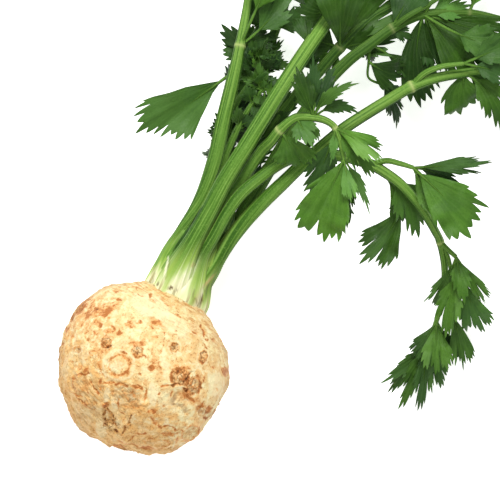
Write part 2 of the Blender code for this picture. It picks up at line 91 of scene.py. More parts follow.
# A leaflet's blade and the rib that carries it
BLADE_THICKNESS = 0.6 * MM
BLADE_NET = 1.7 * MM               # spacing of the net of corners over a blade
STEM_SHARE = 0.6                   # of a leaflet, the most that its stem takes up
STEM_RADIUS = 1.05 * MM
RIB_RADIUS = 0.26 * MM             # of the midrib where it runs out in the blade
RIB_SHARE = 0.55                   # of the blade that the midrib stands out on
BLADE_FOLD = 0.20                  # how steeply the two halves rise from the midrib
ROLL_SPREAD = 16                   # degrees that a blade leans to either side
LOBE_CURL = 0.20                   # how far a lobe's end lifts or drops, in blade lengths
PLEAT_DEPTH = 0.011                # of the folds that fan out from the stem
SPREAD_SHARE = 0.22                # of the blade, over which its folds and waves set in
RIM_SHARE = 0.45                   # of the blade's thickness, left at its rim
NECK_SHARE = 0.03                  # of the blade's half width, where it starts from the stem
MIDRIB_BEND = 1.2 * MM             # the fold along the midrib is rounded over this width
SLIT_SHADE = 0.06                  # width of the painted shade along a slit, of the fan's half angle
RIB_RINGS = 14

# The photograph fixes where stalks, leaflets and marks lie; pixels are turned to real size.
PHOTO_SIZE = 500
PHOTO_PIXEL = 0.655 * MM
PHOTO_ROOT_CENTRE = (143.5, 368.0)
PHOTO_LEAN = math.radians(28)
PHOTO_RIGHT = np.array([math.cos(PHOTO_LEAN), math.sin(PHOTO_LEAN), 0.0])
PHOTO_UP = np.array([-math.sin(PHOTO_LEAN), math.cos(PHOTO_LEAN), 0.0])
CAMERA_DISTANCE = 4.0
SENSOR_WIDTH = 36.0                # mm
FLOOR_HALF = 3.0                   # half the width of the studio floor, in metres
FLOOR_GLOW = 0.70                  # light that comes up through the studio table
DOME_STRENGTH = 0.46
LAMPS_AIM = np.array([0.02, 0.12, 0.05])
# A lamp stands so many metres to the right of that point, up the picture and above it. Its
# width is in metres too, and its power in watts.
Lamp = namedtuple("Lamp", "name right up above width power")
LAMPS = [Lamp("top_lamp", 0.15, 1.3, 1.7, 0.9, 41.0), Lamp("fill_lamp", -0.9, -1.0, 1.9, 1.6, 13.0)]

# The darker underside, painted shade with a browner skin, in two layers: how strong each is
# below the root's middle line, and how far above that line it fades, as a share of the root's radius.
UNDERSIDE_BROWN_AND_SHADE = ((0.36, 0.15), (0.20, 0.45))
# Lumps and hollows: bearing in the XY plane, rise towards +Z, spread, in degrees; mm high
ROOT_LUMPS = [
    (146, 0, 34, 3.1), (54, 0, 18, -2.3), (212, 0, 18, -0.7), (253, 5, 12, 1.8),
    (129, 0, 9, -1.5), (169, 0, 10, 1.2), (40, 0, 9, 1.2),
    (268, 0, 8, -1.9), (291, 0, 9, -1.2), (318, 5, 12, 2.0), (354, 0, 14, -1.1),
    (18, 0, 8, 1.6), (334, 24, 14, 2.6), (264, 45, 8, -4.2),
    (276, 36, 6, 1.6), (-11, 56, 7, -1.8), (196, 73, 9, 1.2), (20, 60, 9, 1.3),
    (225, 40, 12, 1.4), (120, 40, 12, 1.2), (60, 62, 8, -1.0), (300, 62, 10, 1.4),
    (30, -38, 15, 2.2), (95, -45, 12, -1.6), (160, -42, 14, 2.0), (215, -35, 12, -2.4),
    (250, -50, 12, 2.2), (305, -38, 13, -2.0), (340, -60, 12, 1.6), (275, -18, 10, -2.2),
]

# Marks on the side that the camera sees, by their kind: photo x and y, half length and half
# width in mm, turn in degrees from the photo's right (else 0), and strength (else 1)
Mark = namedtuple("Mark", "kind x y long wide turn strength", defaults=(0, 1.0))
MARKS = {
    "ring": [
        (120.6, 363.6, 7.5, 7.2), (189.2, 347, 2.1, 2.4, 0, 0.6), (92.5, 335.4, 4, 3.8, 30, 0.55),
        (94.5, 352, 2.2, 1.8, 0, 0.5)],
    "hoop": [
        (116.8, 361.8, 11.4, 11, 0, 0.55), (176.5, 346, 5, 5.2, 0, 0.35), (196, 382, 3.4, 3),
        (157.5, 441, 8.6, 2.8, -4, 1.1), (190.6, 431, 7, 4.8, 40, 1.1)],
    "line": [
        (100, 358, 5.5, 0.6, 96, 0.4), (103, 371, 3.4, 0.6, 118, 0.5), (146.5, 355.5, 2, 0.7, -60, 0.9),
        (125.5, 352, 2.6, 0.7, -16, 0.9), (203.6, 331.5, 4.6, 0.7, -68, 0.9),
        (206, 345.5, 2, 0.6, -55, 0.7), (82.5, 373, 5, 0.6, 6), (72.8, 381, 4.6, 0.7, 86, 0.6),
        (94, 384, 3.6, 0.5, -50, 0.7), (97.5, 389, 4, 0.5, -54, 0.7), (91, 392, 3.6, 0.5, -46, 0.6),
        (101, 384, 3, 0.6, -70, 0.7), (78, 393, 6.4, 0.6, -22, 0.6), (84, 400, 5, 0.5, -38, 0.6),
        (110.5, 381.3, 5, 0.8, 3, 0.8), (124.5, 382.6, 3.6, 1, -14, 0.9),
        (137.5, 384.5, 3.6, 1.1, -4, 0.8), (146.8, 394, 4.8, 0.8, 78, 0.9),
        (119, 402, 3.2, 0.6, 90, 0.9), (115, 424, 2.4, 0.5, 0, 0.8), (117, 431, 2.4, 0.6, -20, 0.9),
        (122, 410.5, 3.6, 0.5, -44, 0.8), (125.5, 418.5, 2, 0.6, 60, 0.7),
        (172.2, 376.5, 4.4, 0.8, 84, 0.9), (200.4, 386, 4.6, 0.9, 82), (191, 396.5, 4, 0.9, -50, 0.9),
        (166, 384, 2.8, 0.8, 4, 0.9), (172.4, 391, 2, 0.7, 60, 0.8), (203, 402, 2.8, 0.7, 60, 0.8),
        (150.5, 408.5, 1.8, 0.8, 20, 0.8), (160.5, 424, 1.8, 0.9, -30), (168.5, 424, 3.6, 0.7, 2, 0.9),
        (175.5, 427, 2.2, 0.8, -50, 0.8), (168, 432.5, 7, 0.8, -4, 0.7), (150, 447.5, 9, 0.9, -6, 0.9),
        (128, 442.5, 8, 0.8, -14, 0.8), (118, 445.5, 6, 0.8, -14, 0.9), (133, 436, 4, 0.6, 30, 0.8),
        (142, 432, 4.4, 0.8, -4, 0.9), (114.6, 326, 2.2, 0.8, -34), (116.4, 291.2, 1.8, 0.6, 0, 0.8),
        (127, 292.5, 1.4, 0.5, 0, 0.6), (134, 287.4, 4, 0.5, -8, 0.7), (141, 294.5, 2.2, 0.6, -18, 0.9),
        (169, 304.5, 3.4, 0.6, -24, 0.8), (194.5, 332, 2.6, 0.6, -34, 0.8),
        (156, 335.5, 3, 0.5, -10, 0.6), (193, 323, 1.8, 0.7, -20, 0.6), (163, 347, 5, 0.5, 70, 0.5)],
    "blotch": [
        (157.3, 324, 4, 3.2, 4, 0.62), (134, 323, 5.2, 2.4, 10, 0.5), (138, 342.5, 5.6, 1.7, -6, 0.7),
        (88.5, 370, 3, 2.2, 60, 0.9), (79, 366.5, 3.6, 1.8, 0, 0.5), (208.5, 409, 3.4, 2, 50, 0.8),
        (225.4, 371, 4.2, 2.2, -70), (154.5, 418, 3.8, 1.3, -58, 0.9), (177, 439, 2.8, 1.2, 80, 0.7),
        (80, 311, 4.4, 1.8, 58, 0.9), (89, 313, 3.4, 1.2, 56, 0.8), (104.2, 312.6, 2.8, 1.8, 34, 1.1),
        (111, 309.4, 2.6, 1.5, 20), (109, 329.5, 4.6, 1.2, 0, 0.45), (152.5, 300.5, 2.8, 0.9, -30, 0.8),
        (179.6, 315, 2.8, 1.2, -40, 0.9)],
    "spot": [
        (154, 321, 0.9, 0.7, 0, 0.7), (141.3, 320.2, 1.3, 1.3), (203, 361.5, 1.6, 0.9, 0, 0.9),
        (207.3, 338.6, 1.3, 1.2), (201.3, 325.5, 1.1, 1.3, 0, 0.7), (213.4, 339.6, 1.2, 1.2, 0, 0.5),
        (90.5, 338.5, 1.2, 1, 0, 0.5), (88, 358.4, 0.9, 0.6, 0, 0.8), (73.8, 360, 0.8, 0.6, 0, 0.8),
        (101.8, 379.5, 1, 2, 0, 0.9), (118.5, 382.5, 1.2, 0.8), (143, 386, 1.8, 0.9, -30),
        (106.5, 403.5, 2.2, 1.6, 60, 0.9), (152.2, 366.4, 2, 1.8, 0, 0.8), (142, 373, 1.4, 1, -50, 0.7),
        (178.5, 369.5, 2.4, 1.4, 10, 0.6), (160, 392.4, 0.8, 1.3, -20, 0.9),
        (164.8, 403.4, 0.9, 0.8, 0, 0.7), (205.5, 417.5, 1.4, 0.8, 0, 0.9),
        (217.2, 388, 1.2, 1.3, 0, 0.5), (214, 366.5, 1.6, 1.4, 0, 0.4), (155.3, 409.2, 1.7, 1, -10, 1.2),
        (71.5, 318.5, 1.4, 1.6, 0, 0.9), (67.5, 329.5, 1.2, 1.6, 0, 0.9),
        (62.3, 342.5, 1.2, 1.8, 0, 0.9), (97.2, 308.6, 1.7, 1.3, 40, 1.1), (110.4, 317, 1.2, 1, 0, 0.5),
        (101.8, 324.8, 1.4, 1.9, 0, 0.9), (120.4, 331.4, 1.1, 1.5, -20, 0.7), (120.4, 299, 1.9, 0.9, 8),
        (114.1, 302.6, 1, 0.6, 0, 0.9), (151.6, 295.8, 1.7, 1.2, -40), (165.4, 332.2, 0.7, 1.2, 10, 0.9),
        (176.4, 330.4, 0.6, 0.6, 0, 0.8)],
    "scar": [
        (139, 350, 4.2, 3.6, -40, 0.9), (175.4, 346, 3.2, 3.4), (203.3, 356.2, 4.6, 2.8, 80, 1.1),
        (79.5, 349, 2.8, 2.2, 0, 0.8)],
    "rough": [
        (107.8, 341, 4.2, 3.6, 60, 0.7), (92, 403.5, 5.4, 2.8, -24, 0.5),
        (180.6, 374.6, 6.4, 6, 14, 0.68), (194.6, 384.5, 6, 5.4, 60, 0.68)],
    "crease": [
        (110.5, 346, 2.4, 0.6, 20), (112.8, 412, 5.6, 0.9, -52), (105.2, 412, 4.6, 0.8, 84),
        (104.6, 421.5, 3.2, 0.6, -84, 0.9), (112, 429, 4.6, 0.5, -34, 0.8),
        (111, 420, 2.6, 0.5, -40, 0.6), (125.4, 428.5, 4, 0.6, 72), (131.8, 417.5, 4, 0.6, 68, 0.9),
        (177, 383.4, 4.2, 0.9, 4), (188, 376.5, 4.6, 0.9, 52, 0.9), (186.8, 388, 2.4, 1, -40, 0.9),
        (124, 449, 12, 0.8, -12)],
    "patch": [
        (81, 383, 6, 5.6, 0, 0.8), (128, 395, 9.6, 7.2, -14, 0.8), (80, 307, 9, 3, 52, 0.9),
        (206, 410.5, 6.2, 4, -14)],
    "comb": [
        (91, 396, 12, 8, -50, 0.75), (129, 395, 9, 6.4, -30, 0.7), (101, 388, 5, 4.4, -50, 0.6),
        (84, 418, 11, 8, -50, 0.5)],
    "shade": [
        (133, 395, 2.4, 4, 10, 0.4), (175, 398.5, 4.4, 2.2, 64), (181.5, 404.6, 4.8, 1.4, -8, 0.8),
        (188, 396, 4.6, 1.3, -58, 0.8), (186, 409, 3, 2.4, 0, 0.8), (199, 408, 1.8, 2.6, 0, 0.8),
        (220, 399, 1.2, 2.2, 0, 0.6), (152, 441, 6, 1.4, -2, 0.5), (191, 430, 5, 3.2, 40, 0.35),
        (80.5, 309.5, 2.8, 1.2, 58, 0.7)],
    # Pale marks are paler skin, and in places painted light where the skin is turned from the lamps, on
    # the lower left and at the right edge.
    "pale": [
        (108.5, 392, 5.4, 2, 78, 0.9), (115.5, 400.5, 4.4, 1.8, 84, 0.8), (102, 428, 6.4, 3, -72, 0.8),
        (84, 413, 9, 4, -50, 0.4), (109, 414.5, 3.2, 0.8, -66, 0.7), (121, 421, 3.6, 3, -60, 0.7),
        (134.5, 417, 4, 1.4, 68, 0.8), (195.4, 389.5, 1.6, 1.3), (153.6, 393, 8, 2.8, 94),
        (181.6, 396.5, 3, 2.4, 80, 0.3), (147, 430, 5.4, 2.6, -6, 0.5), (175, 441.5, 5, 0.9, 66),
        (151, 305, 14, 7.5, -20), (174, 323, 12, 6, -34, 0.8), (184, 338, 6, 4, 0, 0.5),
        (122, 341, 6, 4, 20, 0.5), (144, 314, 6, 5, 0, 0.4), (86, 352, 5, 4, 0, 0.5),
        (93, 410, 8, 4, -30, 0.4), (212, 338, 5, 5, 0, 0.4), (67, 366, 9, 2.8, 84, 0.6),
        (166, 398, 5, 7, 0, 0.6), (216, 384, 9, 5, 84, 0.9), (196, 330, 6, 4, -50, 0.5)],
    "folds": [
        (112, 424, 6.4, 5, -40, 0.9)],
    # Tan marks are browner skin, and on the upper left partly painted shade towards the rim.
    "tan": [
        (184, 379, 12, 10, -40, 0.7), (205, 374, 5, 5, 0, 0.8), (198, 401, 9, 6, -30, 0.9),
        (186, 424, 14, 9, 30, 0.6), (162, 414, 11, 8, -20, 0.5), (160, 366, 9, 7, 0, 0.8),
        (103, 308, 12, 6, 36, 0.9), (106, 331, 9, 6, 0, 0.6), (70, 330, 9, 6, 60, 1.2),
        (90, 322, 9, 6, 30, 0.9), (84, 305, 12, 6, 48, 1.5), (185, 367, 6, 5, 0, 0.9),
        (157, 357, 7, 7, 0, 0.7), (187, 394, 6, 4, 0, 0.9), (101, 346, 7, 8, 0, 0.9),
        (101, 311, 9, 9, 0, 0.7), (116, 308, 7, 6, 0, 0.7), (129, 327, 7, 6, 0, 0.9),
        (143, 340, 6, 5, 0, 0.7), (143, 380, 6, 5, 0, 0.6)],
}
# What each kind of mark does: to a colour, or to the height in mm; over which part; how much.
MARK_LAYERS = {
    # The pale outer edge of a ring, a scar or a crease lies on a raised ridge and is partly painted
    # highlight.
    "ring": (("stain", "rim", 0.68), ("pale", "core", 0.35), ("pale", "outer", 0.5),
             ("lift", "rim", -0.4), ("lift", "outer", 0.5)),
    "hoop": (("stain", "rim", 0.45), ("lift", "rim", 0.7), ("pale", "core", 0.15)),
    "scar": (("stain", "inside", 0.42), ("dark", "core", 0.40), ("stain", "rim", 0.45),
             ("folds", "inside", 0.8), ("pale", "outer", 0.5), ("lift", "rim", 0.5),
             ("lift", "core", -0.7)),
    "blotch": (("stain", "inside", 0.78), ("lift", "inside", -0.12)),
    "spot": (("stain", "inside", 1.0), ("dark", "core", 0.4), ("lift", "inside", -0.3)),
    "line": (("stain", "inside", 0.85), ("lift", "inside", -0.5)),
    "rough": (("stain", "inside", 0.45), ("dark", "inside", 0.12), ("folds", "inside", 1.0),
              ("rumple", "inside", 1.2), ("stain", "rim", 0.35)),
    # Partly painted shade: a shade mark greys the skin where a dent lies in shadow, and sinks it a
    # little.
    "shade": (("grey", "soft", 1.0), ("stain", "inside", 0.1), ("lift", "inside", -0.6)),
    "patch": (("stain", "inside", 0.22), ("grey", "inside", 0.30), ("folds", "inside", 0.5),
              ("rumple", "inside", 0.5), ("stain", "rim", 0.24)),
    "pale": (("pale", "inside", 0.6), ("lift", "inside", 0.35)),
    "crease": (("dark", "inside", 0.42), ("stain", "inside", 0.5), ("lift", "inside", -1.3),
               ("lift", "outer", 0.6), ("pale", "outer", 0.35)),
    "folds": (("folds", "inside", 1.0), ("rumple", "inside", 0.9), ("stain", "inside", 0.12)),
    "tan": (("stain", "soft", 0.32),),
    "comb": (("comb", "soft", 1.2), ("stain", "soft", 0.12)),
}
# How far in mm the skin's own unevenness shifts the edges of a mark: of most kinds, and of some
USUAL_STRAY = 0.9
MARK_STRAY = {"ring": 0.3, "hoop": 0.4, "scar": 0.5}
# How ragged the edge of a mark is beside that of a spot or blotch
MARK_WOBBLE = {"ring": 0.45, "hoop": 0.5, "patch": 1.6, "shade": 1.4, "line": 0.5, "crease": 0.3}
# On the hidden sides: half length in mm, and width as a share of it, where not the usual
USUAL_MARK_SIZE = (4.2, 0.8)
MARK_SIZES = {"spot": (1.3, 0.8), "blotch": (3.2, 0.4), "crease": (4.5, 0.13), "line": (4.5, 0.14),
              "patch": (9.0, 0.8), "pale": (7.0, 0.6), "shade": (3.5, 0.5), "tan": (9.0, 0.7),
              "comb": (10.0, 0.7)}
HIDDEN_MARKS = 56                  # drawn at random on the sides that the camera doesn't see
OUT_OF_REACH = 9.0                 # far from a mark, in its own sizes: there it doesn't show
# Marks on the feet of the stalks, as far up as the fibres of the crown reach
FOOT_MARKS = {
    "green": [
        (165, 254, 9.5, 5, 58, 0.9), (155.5, 266, 6, 1.6, 70, 0.7)],
    "white": [
        (166.2, 270, 10, 0.9, 79, 0.7), (162, 280, 5, 3.2, 76, 0.5), (180, 277, 12, 3, 41, 0.55),
        (184, 280, 12, 3, 53, 0.55), (187, 284, 9, 2.6, 62, 0.4), (178.5, 286, 9, 5, 46, 0.5),
        (187, 293, 7, 4.6, 60, 0.45)],
    "crack": [
        (168.4, 268.5, 9, 0.5, 77, 0.35), (153.4, 278, 4.4, 0.6, 76, 0.7),
        (209.6, 284.4, 5.6, 0.5, 52, 0.5), (158.2, 284.4, 1.2, 0.7, 70, 0.8),
        (171, 288, 2, 0.9, 28, 1.1), (176.2, 290.4, 1.7, 0.7, 28, 0.9), (175.2, 296, 1, 0.9, 0, 1.1),
        (193.6, 296.5, 4.6, 0.6, 80, 0.5), (201.2, 301.5, 5, 0.9, 75), (197.2, 302.5, 3, 0.5, 104, 0.5)],
    # Deep marks are painted shade: the darkest green in the crevices between the stalks' feet.
    "deep": [
        (182.2, 238.6, 11.6, 1, 55), (197.6, 215.6, 7.4, 1, 58), (209.6, 288.5, 8, 2.4, 68, 0.9)],
    "tan": [
        (193.6, 265, 2.2, 1.2, 40, 0.6), (208, 281.8, 7.2, 0.8, 47, 0.8), (197.6, 299, 7, 3, 72, 0.5),
        (153, 274, 6, 1.2, 74, 0.4)],
}
FOOT_COLOURS = {"green": "#5d8a2e", "white": "#f6f3d2", "deep": "#25450f", "tan": "#b5a067",
                "crack": "#5e4526"}
THIN_MARK = 1.5                    # mm of half width, up to which a mark on a foot has a hard edge

# The numbers that the meshes carry at their points for their finishes
ROOT_LAYERS = ("stain", "dark", "grey", "pale", "folds", "comb")
ROOT_VALUES = ROOT_LAYERS + ("rooty", "shoulder", "under", "collar")
STALK_VALUES = (*FOOT_COLOURS, "rib", "joint", "reach", "round_cos", "round_sin", "edge_line",
                "tone")
LEAF_VALUES = ("fan_turn", "fan_reach", "fan_spread", "leaf", "cool", "lobe", "crease", "beneath",
               "tone")

# The form of a blade: half the angle of its fan in degrees, and its teeth from edge to edge,
# each with its turn in the fan from -1 to 1, its reach, and how deep the notch after it cuts.
# Loose says how far the blades that share a form stray from it; edge shapes the two plain
# sides of the fan, where under 1 bulges.
Form = namedtuple("Form", "spread teeth loose edge", defaults=(1.0, (1.25, 1.25)))
FORMS = {
    "fan": Form(58, [
        (-0.95, 0.52, 0.07), (-0.80, 0.68, 0.10), (-0.63, 0.77, 0.11), (-0.48, 0.71, 0.33),
        (-0.27, 0.85, 0.10), (-0.12, 0.94, 0.12), (0.04, 1.0, 0.13), (0.20, 0.87, 0.33),
        (0.42, 0.74, 0.11), (0.60, 0.80, 0.12), (0.78, 0.67, 0.09), (0.94, 0.50, 0.0)]),
    "wedge": Form(33, [
        (-0.95, 0.78, 0.06), (-0.80, 0.87, 0.11), (-0.62, 0.90, 0.08), (-0.45, 0.95, 0.07),
        (-0.30, 0.92, 0.30), (-0.12, 0.97, 0.07), (0.04, 1.0, 0.09), (0.22, 0.95, 0.28),
        (0.42, 0.91, 0.08), (0.60, 0.93, 0.07), (0.78, 0.84, 0.06), (0.94, 0.74, 0.0)],
        edge=(1.0, 1.0)),
    "hand": Form(26.7, [
        (-0.96, 0.66, 0.08), (-0.77, 0.68, 0.08), (-0.54, 0.74, 0.09), (-0.36, 0.73, 0.05),
        (-0.19, 0.82, 0.19), (-0.02, 0.86, 0.11), (0.15, 0.91, 0.06), (0.33, 1.0, 0.06),
        (0.55, 0.94, 0.11), (0.73, 0.94, 0.19), (0.89, 0.92, 0.04), (0.98, 0.83, 0.0)],
        0.2, (1.15, 0.86)),
    "broad": Form(31, [
        (-0.95, 0.62, 0.04), (-0.78, 0.74, 0.05), (-0.57, 0.93, 0.20), (-0.38, 0.88, 0.08),
        (-0.19, 0.95, 0.09), (0.05, 0.93, 0.05), (0.25, 1.0, 0.07), (0.52, 0.90, 0.05),
        (0.73, 0.88, 0.14), (0.94, 0.68, 0.0)], 0.3, (0.85, 0.85)),
    "drooped": Form(32, [
        (-0.96, 0.72, 0.05), (-0.84, 0.84, 0.05), (-0.68, 0.93, 0.08), (-0.48, 0.93, 0.04),
        (-0.33, 1.0, 0.06), (-0.12, 0.96, 0.17), (0.10, 0.96, 0.05), (0.35, 0.98, 0.06),
        (0.50, 0.90, 0.05), (0.66, 0.82, 0.30), (0.93, 0.58, 0.0)], 0.3, (1.0, 1.0)),
    "lance": Form(42, [
        (-0.90, 0.44, 0.06), (-0.66, 0.58, 0.08), (-0.42, 0.70, 0.12), (-0.18, 0.86, 0.08),
        (0.02, 1.0, 0.09), (0.22, 0.84, 0.11), (0.46, 0.68, 0.08), (0.68, 0.56, 0.06),
        (0.92, 0.42, 0.0)]),
}
TOOTH_STEPS = 3                    # straight bits along one side of a tooth
SLIT = 0.25                        # a notch deeper than this parts two lobes
SLIT_WIDTH = 0.022                 # half of it, as a share of the fan's half angle

# Leaflet, Branch and Stalk are written as in the solids; a blade of no width is as wide as its
# form draws it; tone runs from 0, dark, to 1, bright: partly the own green of old and young
# blades and stalks, partly painted shade where they lie in shadow and painted light where they
# lie in the light.
Leaflet = namedtuple("Leaflet", "at tip width stem bow lift roll form tone",
                     defaults=(2, 0, 2, 0, "fan", None))
Branch = namedtuple("Branch", "at radii route leaflets")
Stalk = namedtuple("Stalk", "name bearing out foot radii route leaflets branches tone joints "
                   "tufts", defaults=((), 0.4, (), ()))
# A tuft of curly young leaflets: the route's point they stand at, how many, their length in
# mm, how far up the point they lie in mm, their tone, where they point in the photo, in
# degrees from its right, and how far they stray from that.
Tuft = namedtuple("Tuft", "at count length rise tone turn stray", defaults=(90, 180))
# A sheath that closes the neck between the stalks, in the darkest green as painted shade there:
# its route and half widths and depths in mm
HEART_STALK = "leafy_stalk_middle"
HEART_ROUTE = [(175, 294, 52), (182, 280, 56), (190, 264, 59), (198, 247, 60), (208, 229, 56),
               (219, 211, 49), (229, 196, 44)]
HEART_SIZES = [(20.0, 15.0), (18.5, 13.0), (16.5, 10.5), (14.5, 8.5), (14.0, 6.0), (11.5, 4.0),
               (6.0, 3.0)]

